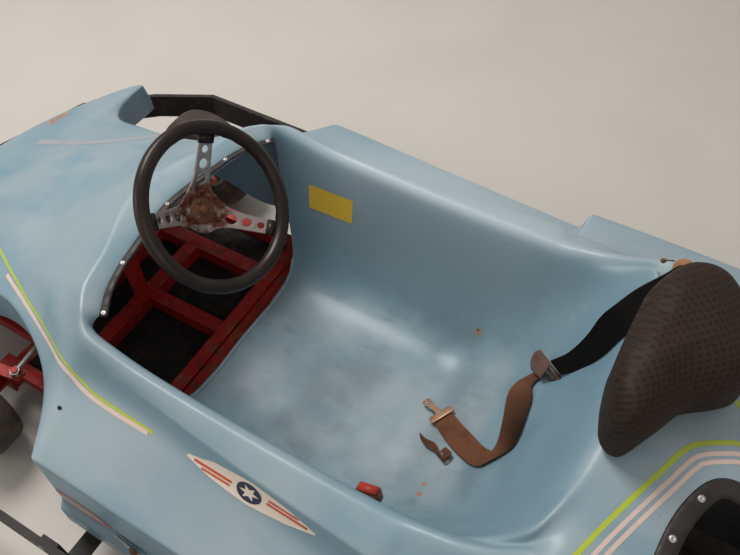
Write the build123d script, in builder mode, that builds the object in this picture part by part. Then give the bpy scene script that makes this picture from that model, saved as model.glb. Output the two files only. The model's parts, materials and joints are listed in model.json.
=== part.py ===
from build123d import *
import math
import os

# Racing kart with a one-shell open-cockpit body and a bumper band all round.
# Millimetres. +X is forward, +Y is the driver's left, +Z is up.
# The origin is on the ground, under the middle of the bumper band.

# Overall layout
bumper_front_x = 1100.0
bumper_rear_x = -1100.0
bumper_half_width = 604.0
front_axle_x = 618.0
rear_axle_x = -640.0

# Bumper band
band_bottom = 160.0
band_height = 73.0
band_thick = 12.0
bracket_flat = 8.0
pod_gap = 54.0

# Body shell
shell = 5.0
pod_front_x = 218.0
pod_rear_x = -435.0
deck_rear_x = -1040.0
tub_front_x = 200.0
tub_floor = 150.0
rim_half = 322.0
pod_foot = 18.0
crease_half = bumper_half_width - band_thick - bracket_flat - pod_gap - pod_foot

# Front wheels
front_tyre_radius = 143.0
front_tyre_width = 100.0
front_wheel_inset = 6.0
front_wheel_y = crease_half - front_wheel_inset - front_tyre_width / 2
front_rim_radius = 64.0

# Rear wheels
rear_tyre_radius = 142.0
rear_tyre_width = 178.0
rear_wheel_inset = 8.0
rear_wheel_y = crease_half - rear_wheel_inset - rear_tyre_width / 2
rear_rim_radius = 64.0
rear_axle_radius = 15.0
axle_end_reach = 70.0
rear_axle_half = rear_wheel_y + axle_end_reach
arch_gap = 55.0

# Wheel details shared by the four wheels
rim_wall = 4.0
bead_lip = 9.0
rim_width_share = 0.7
hub_radius = 24.0
tyre_shoulder = 26.0
tyre_wall_start = 26.0

# Frame
rail_size = 38.0
rail_y = 215.0
rail_bottom = 60.0
rail_top = rail_bottom + rail_size
rail_front_x = 950.0
rail_rear_x = -1050.0
floor_pan_thick = 3.0

# Running clearances
bearing_gap = 0.05
side_gap = 1.0

# Knuckles
kingpin_offset = 86.0
kingpin_y = front_wheel_y - kingpin_offset
kingpin_radius = 8.0
yoke_half_height = 40.0
yoke_ear = 8.0
yoke_half_length = 24.0
yoke_reach = 25.0
yoke_plate = 8.0
stub_radius = 9.5
steering_arm_back = 90.0
steering_arm_in = 20.0
steering_arm_thick = 8.0

# Steering
steering_x = 150.0
steering_z = 604.0
wheel_centre = Vector(steering_x, 0, steering_z)
column_drop_deg = 38.0
steering_rim_diameter = 330.0
steering_grip = 28.0
steering_dish = 56.0
column_radius = 9.5
pitman_length = 45.0
pitman_thick = 8.0
pitman_half_width = 14.0
tie_rod_radius = 6.0
tie_eye_radius = 11.0
tie_eye_thick = 14.0
tie_pin_radius = 5.0
tie_pin_head = 3.0
pitman_gap = 4.0
pitman_at = 455.0
column_tail = 10.0
support_from_hub = 380.0

# Headrest
headrest_half = 160.0
headrest_shift = -32.0
headrest_front_x = -618.0
headrest_rear_x = -790.0
headrest_height = 128.0
spine_z = 640.0
headrest_top = spine_z + headrest_height

os.makedirs("parts", exist_ok=True)

column_axis = Vector(math.cos(math.radians(column_drop_deg)), 0, -math.sin(math.radians(column_drop_deg)))
pitman_dir = Vector(-math.sin(math.radians(column_drop_deg)), 0, -math.cos(math.radians(column_drop_deg)))
hub_centre = wheel_centre + column_axis * steering_dish
support_at = hub_centre + column_axis * support_from_hub


def save(piece, name):
    """Label a finished piece and write it as its own file."""
    piece.part.label = name
    export_step(piece.part, f"parts/{name}.step")


def bar(start, end, width, height):
    """A rectangular bar from start to end; width lies across, height is upward."""
    run = end - start
    across = Vector(0, 1, 0) if abs(run.Y) < abs(run.X) + abs(run.Z) else Vector(1, 0, 0)
    with BuildSketch(Plane(origin=start, x_dir=across, z_dir=run)) as profile:
        Rectangle(width, height)
    extrude(profile.sketch, amount=run.length)


def rod(start, end, radius, mode=Mode.ADD):
    """A round rod from start to end."""
    run = end - start
    with BuildSketch(Plane(origin=start, z_dir=run)) as profile:
        Circle(radius)
    extrude(profile.sketch, amount=run.length, mode=mode)


def block(low, high, mode=Mode.ADD):
    """A box given by its lowest and highest corners."""
    with BuildSketch(Plane.XY.offset(low[2])) as profile:
        with Locations(((low[0] + high[0]) / 2, (low[1] + high[1]) / 2)):
            Rectangle(high[0] - low[0], high[1] - low[1])
    extrude(profile.sketch, amount=high[2] - low[2], mode=mode)


def cross_section(x, half_points):
    """A closed section across the kart from the points of its left half, top first."""
    left = [(y, z) for y, z in half_points]
    right = [(-y, z) for y, z in reversed(half_points) if y > 0]
    with BuildSketch(Plane.YZ.offset(x)) as profile:
        with BuildLine():
            Polyline(*left, *right, close=True)
        make_face()
    return profile.sketch


def side_section(x, points, side):
    """A closed section of one side's panel from its points; side is 1 left, -1 right."""
    with BuildSketch(Plane.YZ.offset(x)) as profile:
        with BuildLine():
            Polyline(*[(side * y, z) for y, z in points], close=True)
        make_face()
    return profile.sketch


# Frame rails
with BuildPart() as frame_rails:
    for side in (1, -1):
        block((rail_rear_x, side * rail_y - rail_size / 2, rail_bottom),
              (rail_front_x, side * rail_y + rail_size / 2, rail_top))
save(frame_rails, "frame_rails")

# Cross members between the rails, at x, and the tubes round the foot space
rail_inner_y = rail_y - rail_size / 2
rail_outer_y = rail_y + rail_size / 2
brake_setback = 120.0
brake_member_x = rear_axle_x - brake_setback
seat_member_x = -20.0
cross_xs = (rail_front_x - rail_size / 2, front_axle_x, support_at.X, seat_member_x, -520.0, brake_member_x,
            rail_rear_x + rail_size / 2)
seat_bar_xs = (120.0, -290.0)
seat_bar_half = 15.0
front_tube = 32.0
front_tube_x = tub_front_x + front_tube
edge_tube = 28.0
edge_tube_x = front_tube_x - (front_tube + edge_tube) / 2 - 4.0
side_tube_y = 318.0
side_tube_outer_y = side_tube_y + front_tube / 2
centre_bar_y = -20.0
centre_bar_half = 17.0
engine_plate_thick = 6.0
engine_plate_ahead = 145.0
engine_plate_behind = 360.0
engine_plate_front_x = rear_axle_x - engine_plate_ahead
engine_plate_rear_x = rear_axle_x - engine_plate_behind
with BuildPart() as cross_members:
    for x in cross_xs:
        block((x - rail_size / 2, -rail_inner_y, rail_bottom), (x + rail_size / 2, rail_inner_y, rail_top))
    # Bars under the seat tub, the tube ahead of the tub, and the engine's plate, all standing on the rails
    for x in seat_bar_xs:
        block((x - seat_bar_half, -rail_y, rail_top), (x + seat_bar_half, rail_y, tub_floor - shell))
    block((front_tube_x - front_tube / 2, -side_tube_outer_y, rail_top),
          (front_tube_x + front_tube / 2, side_tube_outer_y, rail_top + front_tube))
    block((edge_tube_x - edge_tube / 2, -rail_outer_y, rail_top),
          (edge_tube_x + edge_tube / 2, rail_outer_y, rail_top + edge_tube))
    # Side tubes from there to the stub beams, and a bar along the middle of the foot space
    for side in (1, -1):
        low_y, high_y = sorted((side * (side_tube_outer_y - front_tube), side * side_tube_outer_y))
        block((front_tube_x + front_tube / 2, low_y, rail_top),
              (front_axle_x + rail_size / 2, high_y, rail_top + front_tube))
    block((seat_member_x + rail_size / 2, centre_bar_y - centre_bar_half, rail_bottom),
          (support_at.X - rail_size / 2, centre_bar_y + centre_bar_half, rail_top))
    block((engine_plate_rear_x, -rail_outer_y, rail_top),
          (engine_plate_front_x, rail_outer_y, rail_top + engine_plate_thick))
save(cross_members, "cross_members")

# Sheet floor under the legs, below the cross members, and the sheets under the side tubes
with BuildPart() as floor_pan:
    block((seat_member_x, -rail_inner_y, rail_bottom - floor_pan_thick),
          (rail_front_x, rail_inner_y, rail_bottom))
    for side in (1, -1):
        low_y, high_y = sorted((side * rail_outer_y, side * side_tube_outer_y))
        block((front_tube_x - front_tube / 2, low_y, rail_top - floor_pan_thick),
              (front_axle_x - rail_size / 2, high_y, rail_top))
save(floor_pan, "floor_pan")

# Stub beams and kingpin yokes
yoke_in = kingpin_y - yoke_reach
knuckle_z = front_tyre_radius
with BuildPart() as yokes:
    for side in (1, -1):
        low_y, high_y = sorted((side * rail_outer_y, side * yoke_in))
        block((front_axle_x - rail_size / 2, low_y, rail_bottom),
              (front_axle_x + rail_size / 2, high_y, rail_top))
        low_y, high_y = sorted((side * yoke_in, side * (yoke_in + yoke_plate)))
        block((front_axle_x - yoke_half_length, low_y, rail_bottom),
              (front_axle_x + yoke_half_length, high_y, knuckle_z + yoke_half_height))
        low_y, high_y = sorted((side * yoke_in, side * (kingpin_y + yoke_half_length)))
        for ear_z in (knuckle_z - yoke_half_height, knuckle_z + yoke_half_height - yoke_ear):
            block((front_axle_x - yoke_half_length, low_y, ear_z),
                  (front_axle_x + yoke_half_length, high_y, ear_z + yoke_ear))
        rod(Vector(front_axle_x, side * kingpin_y, rail_bottom),
            Vector(front_axle_x, side * kingpin_y, 2 * knuckle_z),
            kingpin_radius + bearing_gap, mode=Mode.SUBTRACT)
save(yokes, "yokes")

# Knuckles: block and kingpin, stub axle, and steering arm
knuckle_half = yoke_half_height - yoke_ear - side_gap
knuckle_block_radius = 14.0
arm_root_half = 14.0
arm_tip_half = 12.0
arm_z = knuckle_z + yoke_half_height + side_gap + steering_arm_thick / 2
arm_tip_x = front_axle_x - steering_arm_back
arm_tip_y = kingpin_y - steering_arm_in
stub_end_y = front_wheel_y + front_tyre_width / 2 - 4
for side, name in ((1, "left"), (-1, "right")):
    with BuildPart() as knuckle:
        pin_low = Vector(front_axle_x, side * kingpin_y, knuckle_z - yoke_half_height - 6)
        pin_high = Vector(front_axle_x, side * kingpin_y, arm_z)
        rod(pin_low, pin_high, kingpin_radius)
        rod(Vector(front_axle_x, side * kingpin_y, knuckle_z - knuckle_half),
            Vector(front_axle_x, side * kingpin_y, knuckle_z + knuckle_half), knuckle_block_radius)
        rod(Vector(front_axle_x, side * kingpin_y, knuckle_z),
            Vector(front_axle_x, side * stub_end_y, knuckle_z), stub_radius)
        with BuildSketch(Plane.XY.offset(arm_z - steering_arm_thick / 2)):
            with BuildLine():
                Polyline((front_axle_x + arm_root_half, side * (kingpin_y + arm_root_half)),
                         (front_axle_x + arm_root_half, side * (kingpin_y - arm_root_half)),
                         (arm_tip_x - arm_tip_half, side * (arm_tip_y - arm_tip_half)),
                         (arm_tip_x - arm_tip_half, side * (arm_tip_y + arm_tip_half)), close=True)
            make_face()
        extrude(amount=steering_arm_thick)
        arm_top = arm_z + steering_arm_thick / 2
        pin_base = Vector(arm_tip_x, side * arm_tip_y, arm_top)
        cap_base = pin_base + Vector(0, 0, 2 * side_gap + tie_eye_thick)
        cap_end = cap_base + Vector(0, 0, tie_pin_head)
        rod(pin_base, cap_end, tie_pin_radius)
        rod(cap_base, cap_end, tie_pin_radius + tie_pin_head)
    save(knuckle, f"knuckle_{name}")


def wheel_plane(x, y, z):
    """Plane through a wheel's axis: its x is outward from the axis, its y runs along +Y."""
    return Plane(origin=(x, y, z), x_dir=(0, 0, 1), z_dir=(-1, 0, 0))


def tyre_at(x, y, z, radius, width, seat_radius):
    """A tyre as a ring with round shoulders about the axle at x, z."""
    half = width / 2
    bead = half * rim_width_share
    bead_radius = seat_radius + bead_lip + 2
    wall_radius = seat_radius + tyre_wall_start
    shoulder_radius = radius - tyre_shoulder
    round_off = tyre_shoulder * 0.3
    with BuildSketch(wheel_plane(x, y, z)) as profile:
        with BuildLine():
            Polyline((seat_radius, -bead), (bead_radius, -bead), (wall_radius, -half), (shoulder_radius, -half))
            ThreePointArc((shoulder_radius, -half), (radius - round_off, -half + round_off),
                          (radius, -half + tyre_shoulder))
            Line((radius, -half + tyre_shoulder), (radius, half - tyre_shoulder))
            ThreePointArc((radius, half - tyre_shoulder), (radius - round_off, half - round_off),
                          (shoulder_radius, half))
            Polyline((shoulder_radius, half), (wall_radius, half), (bead_radius, bead), (seat_radius, bead),
                     (seat_radius, -bead))
        make_face()
    revolve(profile.sketch, axis=Axis((x, y, z), (0, 1, 0)))


def rim_at(x, y, z, radius, width, bore):
    """A pressed rim with a centre disc and a hub about the axle at x, z."""
    half = width / 2 * rim_width_share
    with BuildSketch(wheel_plane(x, y, z)) as profile:
        with Locations((radius - rim_wall / 2, 0)):
            Rectangle(rim_wall, 2 * half)
        for end in (-1, 1):
            with Locations((radius + bead_lip / 2 - rim_wall / 2, end * (half + rim_wall / 2))):
                Rectangle(rim_wall + bead_lip, rim_wall)
        with Locations(((radius + bore) / 2, 0)):
            Rectangle(radius - bore - rim_wall / 2, rim_wall + 2)
        with Locations(((bore + hub_radius) / 2, 0)):
            Rectangle(hub_radius - bore, 1.6 * half)
    revolve(profile.sketch, axis=Axis((x, y, z), (0, 1, 0)))


# Front wheels, each turning on its stub axle
for side, name in ((1, "left"), (-1, "right")):
    with BuildPart() as front_tyre:
        tyre_at(front_axle_x, side * front_wheel_y, front_tyre_radius, front_tyre_radius, front_tyre_width,
                front_rim_radius)
    save(front_tyre, f"front_tyre_{name}")
    with BuildPart() as front_rim:
        rim_at(front_axle_x, side * front_wheel_y, front_tyre_radius, front_rim_radius, front_tyre_width,
               stub_radius + bearing_gap)
    save(front_rim, f"front_rim_{name}")

# Rear wheels on one live axle
with BuildPart() as rear_tyres:
    for side in (1, -1):
        tyre_at(rear_axle_x, side * rear_wheel_y, rear_tyre_radius, rear_tyre_radius, rear_tyre_width,
                rear_rim_radius)
save(rear_tyres, "rear_tyres")
with BuildPart() as rear_rims:
    for side in (1, -1):
        rim_at(rear_axle_x, side * rear_wheel_y, rear_tyre_radius, rear_rim_radius, rear_tyre_width,
               rear_axle_radius)
save(rear_rims, "rear_rims")
axle_z = rear_tyre_radius
axle_bore_radius = 5.0
axle_bore_depth = 25.0
with BuildPart() as rear_axle:
    rod(Vector(rear_axle_x, -rear_axle_half, axle_z), Vector(rear_axle_x, rear_axle_half, axle_z),
        rear_axle_radius)
    for side in (1, -1):
        rod(Vector(rear_axle_x, side * (rear_axle_half - axle_bore_depth), axle_z),
            Vector(rear_axle_x, side * (rear_axle_half + 1), axle_z), axle_bore_radius, mode=Mode.SUBTRACT)
save(rear_axle, "rear_axle")

# Bearing hangers on the rails
hanger_half = 34.0
hanger_thick = 14.0
with BuildPart() as axle_hangers:
    for side in (1, -1):
        block((rear_axle_x - hanger_half, side * rail_y - hanger_thick / 2, rail_top),
              (rear_axle_x + hanger_half, side * rail_y + hanger_thick / 2, axle_z + hanger_half))
    rod(Vector(rear_axle_x, -rear_axle_half, axle_z), Vector(rear_axle_x, rear_axle_half, axle_z),
        rear_axle_radius + bearing_gap, mode=Mode.SUBTRACT)
save(axle_hangers, "axle_hangers")

# Sprocket and brake disc on the axle
sprocket_y = 95.0
sprocket_radius = 62.0
sprocket_teeth = 24
sprocket_thick = 5.0
disc_y = -110.0
disc_radius = 82.0
disc_thick = 6.0
carrier_radius = 32.0
carrier_length = 36.0
carrier_bore_reach = 200.0
tooth_depth = 3.0
tooth_length = 8.0
tooth_width = 5.0
with BuildPart() as sprocket:
    with BuildSketch(Plane.XZ.offset(-sprocket_y - sprocket_thick / 2)):
        with Locations((rear_axle_x, axle_z)):
            Circle(sprocket_radius - tooth_depth)
            with PolarLocations(sprocket_radius - tooth_depth, sprocket_teeth):
                Rectangle(tooth_length, tooth_width)
    extrude(amount=sprocket_thick)
    rod(Vector(rear_axle_x, sprocket_y, axle_z), Vector(rear_axle_x, sprocket_y + carrier_length, axle_z),
        carrier_radius)
    rod(Vector(rear_axle_x, 0, axle_z), Vector(rear_axle_x, carrier_bore_reach, axle_z), rear_axle_radius,
        mode=Mode.SUBTRACT)
save(sprocket, "sprocket")
with BuildPart() as brake_disc:
    rod(Vector(rear_axle_x, disc_y, axle_z), Vector(rear_axle_x, disc_y + disc_thick, axle_z), disc_radius)
    rod(Vector(rear_axle_x, disc_y, axle_z), Vector(rear_axle_x, disc_y + carrier_length, axle_z),
        carrier_radius)
    rod(Vector(rear_axle_x, -carrier_bore_reach, axle_z), Vector(rear_axle_x, 0, axle_z), rear_axle_radius,
        mode=Mode.SUBTRACT)
save(brake_disc, "brake_disc")

# Brake caliper over the disc's rear edge, on the cross member behind the axle
caliper_x = rear_axle_x - disc_radius
caliper_half = 24.0
caliper_back = 30.0
caliper_ahead = 26.0
caliper_wall = 10.0
caliper_foot_half = 20.0
disc_mid = disc_y + disc_thick / 2
with BuildPart() as brake_caliper:
    block((caliper_x - caliper_back, disc_mid - caliper_half, axle_z - caliper_half),
          (caliper_x + caliper_ahead, disc_mid + caliper_half, axle_z + caliper_half))
    block((caliper_x - caliper_back + caliper_wall, disc_mid - disc_thick, axle_z - 2 * caliper_half),
          (caliper_x + 2 * caliper_ahead, disc_mid + disc_thick, axle_z + 2 * caliper_half), mode=Mode.SUBTRACT)
    block((caliper_x - caliper_back, disc_mid - caliper_foot_half, rail_top),
          (caliper_x - caliper_back + caliper_wall, disc_mid + caliper_foot_half, axle_z))
save(brake_caliper, "brake_caliper")

# Steering column with its pitman plate
column_end = hub_centre + column_axis * (pitman_at + column_tail)
pitman_root = hub_centre + column_axis * pitman_at
with BuildPart() as steering_column:
    rod(hub_centre, column_end, column_radius)
    with BuildSketch(Plane(origin=pitman_root, x_dir=pitman_dir, z_dir=column_axis)):
        with Locations((pitman_length / 2, 0)):
            Rectangle(pitman_length + 2 * pitman_half_width, 2 * pitman_half_width)
    extrude(amount=-pitman_thick)
save(steering_column, "steering_column")

# Steering rim and its three-spoke plate
spoke_clock_degs = (38.0, 148.0, 298.0)
spoke_width = 34.0
spoke_thick = 4.0
spoke_holes = ((72.0, 10.0), (97.0, 8.0), (118.0, 6.0))
rim_ring_radius = (steering_rim_diameter - steering_grip) / 2
hub_plane = Plane(origin=hub_centre, x_dir=(0, -1, 0), z_dir=-column_axis)
with BuildPart() as steering_rim:
    ring_start = wheel_centre + Vector(0, -rim_ring_radius, 0)
    with BuildSketch(Plane(origin=ring_start, x_dir=(0, 1, 0), z_dir=pitman_dir)):
        Circle(steering_grip / 2)
    revolve(axis=Axis(wheel_centre, column_axis))
save(steering_rim, "steering_rim")
flat_radius = 46.0
spoke_root = flat_radius - 8
spoke_run = rim_ring_radius - spoke_root
boss_radius = 22.0
boss_depth = 30.0
with BuildPart() as steering_spider:
    with BuildSketch(hub_plane):
        Circle(flat_radius)
    extrude(amount=spoke_thick)
    with BuildSketch(hub_plane):
        Circle(boss_radius)
    extrude(amount=-boss_depth)
    for clock in spoke_clock_degs:
        angle = math.radians(clock)
        out = hub_plane.x_dir * math.sin(angle) + hub_plane.y_dir * math.cos(angle)
        root = hub_centre + out * spoke_root
        tip = wheel_centre + out * rim_ring_radius
        across = out.cross(column_axis)
        with BuildSketch(Plane(origin=root, x_dir=across, z_dir=tip - root)):
            Rectangle(spoke_width, spoke_thick)
        extrude(amount=(tip - root).length)
        for distance, radius in spoke_holes:
            middle = root + (tip - root) * ((distance - spoke_root) / spoke_run)
            rod(middle - column_axis * 3 * spoke_thick, middle + column_axis * 3 * spoke_thick, radius,
                mode=Mode.SUBTRACT)
    add(steering_rim.part, mode=Mode.SUBTRACT)
    rod(hub_centre - column_axis * boss_depth, hub_centre + column_axis * 2 * boss_depth, column_radius,
        mode=Mode.SUBTRACT)
save(steering_spider, "steering_spider")

# Column support: a bushing on a strut from the cross member below it
bushing_half = 16.0
bushing_wall = 8.0
strut_width = 40.0
strut_thick = 8.0
strut_foot_half = 15.0
with BuildPart() as column_support:
    rod(support_at - column_axis * bushing_half, support_at + column_axis * bushing_half,
        column_radius + bushing_wall)
    bar(Vector(support_at.X, 0, rail_top), Vector(support_at.X, 0, support_at.Z), strut_width, strut_thick)
    block((support_at.X - strut_foot_half, -strut_width, rail_top),
          (support_at.X + strut_foot_half, strut_width, rail_top + strut_thick))
    rod(support_at - column_axis * 4 * bushing_half, support_at + column_axis * 4 * bushing_half,
        column_radius + bearing_gap, mode=Mode.SUBTRACT)
save(column_support, "column_support")

# Tie rods from the pitman plate to the steering arms
pitman_tip = pitman_root + pitman_dir * pitman_length
inner_eye_y = 16.0
outer_eye_rise = side_gap + tie_eye_thick / 2
inner_eye_drop = pitman_gap + tie_eye_thick / 2
for side, name in ((1, "left"), (-1, "right")):
    with BuildPart() as tie_rod:
        outer_eye = Vector(arm_tip_x, side * arm_tip_y, arm_z + steering_arm_thick / 2 + outer_eye_rise)
        inner_eye = pitman_tip + column_axis * inner_eye_drop + Vector(0, side * inner_eye_y, 0)
        along = (inner_eye - outer_eye).normalized()
        ring_middle = (tie_pin_radius + tie_eye_radius) / 2
        rod(outer_eye + along * ring_middle, inner_eye, tie_rod_radius)
        eye_half = Vector(0, 0, tie_eye_thick / 2)
        rod(outer_eye - eye_half, outer_eye + eye_half, tie_eye_radius)
        rod(outer_eye - eye_half * 2, outer_eye + eye_half * 2, tie_pin_radius + bearing_gap,
            mode=Mode.SUBTRACT)
        slant_half = column_axis * (tie_eye_thick / 2)
        rod(inner_eye - slant_half, inner_eye + slant_half, tie_eye_radius)
    save(tie_rod, f"tie_rod_{name}")

# Bumper band: plan corners of its outer face on the left, from the front
# Columns: back from the band's front, in from the band's side
band_front = (
    (0.0, bumper_half_width - 60.0),
    (12.0, bumper_half_width - 145.0),
    (89.0, 215.0),
    (246.0, 81.0),
    (398.0, 0.0),
)
# Columns: forward from the band's rear, in from the band's side
band_rear = ((200.0, 0.0), (70.0, 64.0), (0.0, 204.0))
band_half = [(bumper_front_x - back, bumper_half_width - inward) for back, inward in band_front]
band_half += [(bumper_rear_x + ahead, bumper_half_width - inward) for ahead, inward in band_rear]
band_outline = band_half + [(x, -y) for x, y in reversed(band_half)]
band_split_x = bumper_front_x - band_front[-1][0]


def band_between(x_low, x_high):
    """The stretch of the bumper band between two x values."""
    with BuildSketch(Plane.XY.offset(band_bottom)) as profile:
        with BuildLine():
            Polyline(*band_outline, close=True)
        make_face()
        with BuildSketch(mode=Mode.SUBTRACT):
            with BuildLine():
                Polyline(*band_outline, close=True)
            make_face()
            offset(amount=-band_thick, kind=Kind.INTERSECTION)
        with BuildSketch(mode=Mode.INTERSECT):
            with Locations(((x_low + x_high) / 2, 0)):
                Rectangle(x_high - x_low, 4 * bumper_half_width)
    extrude(profile.sketch, amount=band_height)


with BuildPart() as bumper_front:
    band_between(band_split_x, bumper_front_x)
save(bumper_front, "bumper_front")
with BuildPart() as bumper_rear:
    band_between(bumper_rear_x, band_split_x)
save(bumper_rear, "bumper_rear")

# Bumper brackets: flat arms from the rails with upright plates against the band's inner face
side_arm_xs = (175.0, -400.0)
arm_half = 20.0
plate_top = band_bottom + band_height - bracket_flat
plate_inner_y = bumper_half_width - band_thick - bracket_flat
tongue_inner_y = 100.0
tongue_outer_y = 170.0
tongue_lap = 50.0
tongue_ends = ((rail_front_x - tongue_lap, bumper_front_x), (rail_rear_x + tongue_lap, bumper_rear_x))


def inside_band(gap, low_z, high_z):
    """The space inside the band, less a gap, from low_z to high_z."""
    with BuildSketch(Plane.XY.offset(low_z)) as profile:
        with BuildLine():
            Polyline(*band_outline, close=True)
        make_face()
        offset(amount=-band_thick - gap, kind=Kind.INTERSECTION)
    return extrude(profile.sketch, amount=high_z - low_z, mode=Mode.PRIVATE)


with BuildPart() as bumper_brackets:
    for side in (1, -1):
        for x in side_arm_xs:
            low_y, high_y = sorted((side * rail_outer_y, side * bumper_half_width))
            block((x - arm_half, low_y, rail_top - bracket_flat), (x + arm_half, high_y, rail_top))
            low_y, high_y = sorted((side * plate_inner_y, side * bumper_half_width))
            block((x - arm_half, low_y, rail_top - bracket_flat), (x + arm_half, high_y, plate_top))
        for x_rail, x_end in tongue_ends:
            with BuildSketch(Plane.XY.offset(rail_top)) as tongue:
                with BuildLine():
                    Polyline((x_rail, side * rail_inner_y), (x_rail, side * rail_outer_y),
                             (x_end, side * tongue_outer_y), (x_end, side * tongue_inner_y), close=True)
                make_face()
            extrude(tongue.sketch, amount=bracket_flat)
            low_x, high_x = sorted((x_end, x_end * 0.95))
            low_y, high_y = sorted((side * tongue_inner_y, side * tongue_outer_y))
            block((low_x, low_y, rail_top), (high_x, high_y, plate_top))
    add(inside_band(bracket_flat, rail_top + bracket_flat, plate_top), mode=Mode.SUBTRACT)
    add(inside_band(0, rail_bottom, plate_top), mode=Mode.INTERSECT)
save(bumper_brackets, "bumper_brackets")

# Body shell, nose
wing_gap = 94.0
wing_half = bumper_half_width - band_thick - wing_gap
# Columns: back from the band's front, deck_share, z_deck, edge_share, z_edge, skirt_share, z_skirt
# The three shares are of wing_half
wing_shares = (
    (35.0, 0.12, 258.0, 0.22, 251.0, 0.225, 150.0),
    (55.0, 0.24, 264.0, 0.40, 253.0, 0.41, 150.0),
    (140.0, 0.34, 298.0, 0.70, 276.0, 0.735, 172.0),
    (257.0, 0.40, 335.0, 0.97, 300.0, 1.0, 205.0),
)
wing_rows = tuple(
    (bumper_front_x - back, deck * wing_half, z_deck, edge * wing_half, z_edge, skirt * wing_half, z_skirt)
    for back, deck, z_deck, edge, z_edge, skirt, z_skirt in wing_shares
)
# Columns: x, half_deck, z_deck, half_edge, z_edge, half_skirt, z_skirt
waist_rows = (
    (900.0, 185.0, 308.0, 320.0, 288.0, 322.0, 215.0),
    (823.0, 190.0, 342.0, 357.0, 301.0, 359.0, 235.0),
    (756.0, 190.0, 366.0, 322.0, 320.0, 324.0, 262.0),
    (680.0, 190.0, 392.0, 303.0, 350.0, 305.0, 280.0),
    (593.0, 200.0, 425.0, 277.0, 388.0, 279.0, 290.0),
    (512.0, 215.0, 448.0, 283.0, 400.0, 285.0, 290.0),
    (427.0, 240.0, 468.0, 312.0, 402.0, 314.0, 285.0),
    (366.0, 268.0, 478.0, 345.0, 402.0, 350.0, 185.0),
    (299.0, 300.0, 488.0, 392.0, 402.0, 398.0, 160.0),
    (pod_front_x, 320.0, 497.0, crease_half, 398.0, crease_half + 4, tub_floor),
)
wing_rear_x = wing_rows[-1][0]
hood_base_z = 430.0
hood_top_z = 556.0
hood_centre_x = 150.0
# Columns: z, reach forward of the hood's centre, half width
hood_rows = (
    (hood_base_z, 330.0, rim_half + 30.0),
    (hood_top_z, 212.0, rim_half - 24.0),
)
lip_front_x = 288.0
lip_half = rim_half - 32.0
inner_drop = 60.0


def shell_rows(rows, inset):
    """Loft a body stretch through its rows; inset draws the hollow inside it."""
    drop = inner_drop if inset else 0.0
    sections = [
        cross_section(x, ((0, z_deck - inset), (half_deck - inset, z_deck - inset - 2),
                          (half_edge - 1.4 * inset, z_edge - inset), (half_skirt - inset, z_skirt - drop),
                          (0, z_skirt - drop)))
        for x, half_deck, z_deck, half_edge, z_edge, half_skirt, z_skirt in rows
    ]
    loft(sections, ruled=True)


def hood_solid(inset):
    """The raised hood around the front of the cockpit."""
    sections = []
    for z, reach, half in hood_rows:
        with BuildSketch(Plane.XY.offset(z - inset if z == hood_top_z else z)) as outline:
            with Locations((hood_centre_x, 0)):
                Ellipse(reach - inset, half - inset)
        sections.append(outline.sketch)
    loft(sections)


def far_block(low_x, high_x, mode):
    """Everything the body could fill between two x values."""
    block((low_x, -bumper_half_width, 0), (high_x, bumper_half_width, 2 * hood_top_z), mode=mode)


def shortened(rows):
    """The same rows with the first and last drawn in by one wall, for a closed hollow."""
    first = (rows[0][0] - shell,) + rows[0][1:]
    last = (rows[-1][0] + shell,) + rows[-1][1:]
    return (first,) + rows[1:-1] + (last,)


with BuildPart() as waist_outer:
    shell_rows(waist_rows, 0)
with BuildPart() as nose_hollow:
    shell_rows(shortened(wing_rows), shell)
    shell_rows(waist_rows, shell)
    hood_solid(shell)
    with BuildSketch(Plane.XY) as cockpit_mouth:
        with BuildLine():
            ThreePointArc((pod_front_x - 4, lip_half), (lip_front_x, 0), (pod_front_x - 4, -lip_half))
            Polyline((pod_front_x - 4, -lip_half), (0, -lip_half), (0, lip_half), (pod_front_x - 4, lip_half))
        make_face()
    extrude(cockpit_mouth.sketch, amount=2 * hood_top_z)
with BuildPart() as nose_wing:
    shell_rows(wing_rows, 0)
    add(waist_outer.part)
    add(nose_hollow.part, mode=Mode.SUBTRACT)
    far_block(wing_rear_x, bumper_front_x, Mode.INTERSECT)
save(nose_wing, "nose_wing")
with BuildPart() as nose_cowl:
    add(waist_outer.part)
    add(nose_hollow.part, mode=Mode.SUBTRACT)
    far_block(pod_front_x, wing_rear_x, Mode.INTERSECT)
save(nose_cowl, "nose_cowl")
with BuildPart() as cockpit_hood:
    hood_solid(0)
    add(nose_hollow.part, mode=Mode.SUBTRACT)
    add(waist_outer.part, mode=Mode.SUBTRACT)
    far_block(pod_front_x, wing_rear_x, Mode.INTERSECT)
save(cockpit_hood, "cockpit_hood")

# Seat tub and the seat back that rises from it
# Columns: x, z_floor, floor_in, z_knee, knee_in, z_rim, rim_in; the three in values count from the rim
tub_rows = (
    (tub_front_x, tub_floor, 87.0, 235.0, 54.0, 534.0, 0.0),
    (100.0, tub_floor, 87.0, 235.0, 52.0, 508.0, 0.0),
    (-100.0, tub_floor, 87.0, 240.0, 50.0, 500.0, 0.0),
    (-330.0, tub_floor, 97.0, 250.0, 50.0, 500.0, 0.0),
)
back_rows = (
    tub_rows[-1],
    (-430.0, 222.0, 117.0, 330.0, 52.0, 505.0, 0.0),
    (-510.0, 325.0, 137.0, 410.0, 57.0, 528.0, 0.0),
    (-565.0, 440.0, 152.0, 500.0, 67.0, 556.0, 8.0),
    (-612.0, 590.0, 162.0, 592.0, 82.0, 592.0, 36.0),
)
lip_in = 14.0
lip_fall = 6.0
lip_deep = 12.0


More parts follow.
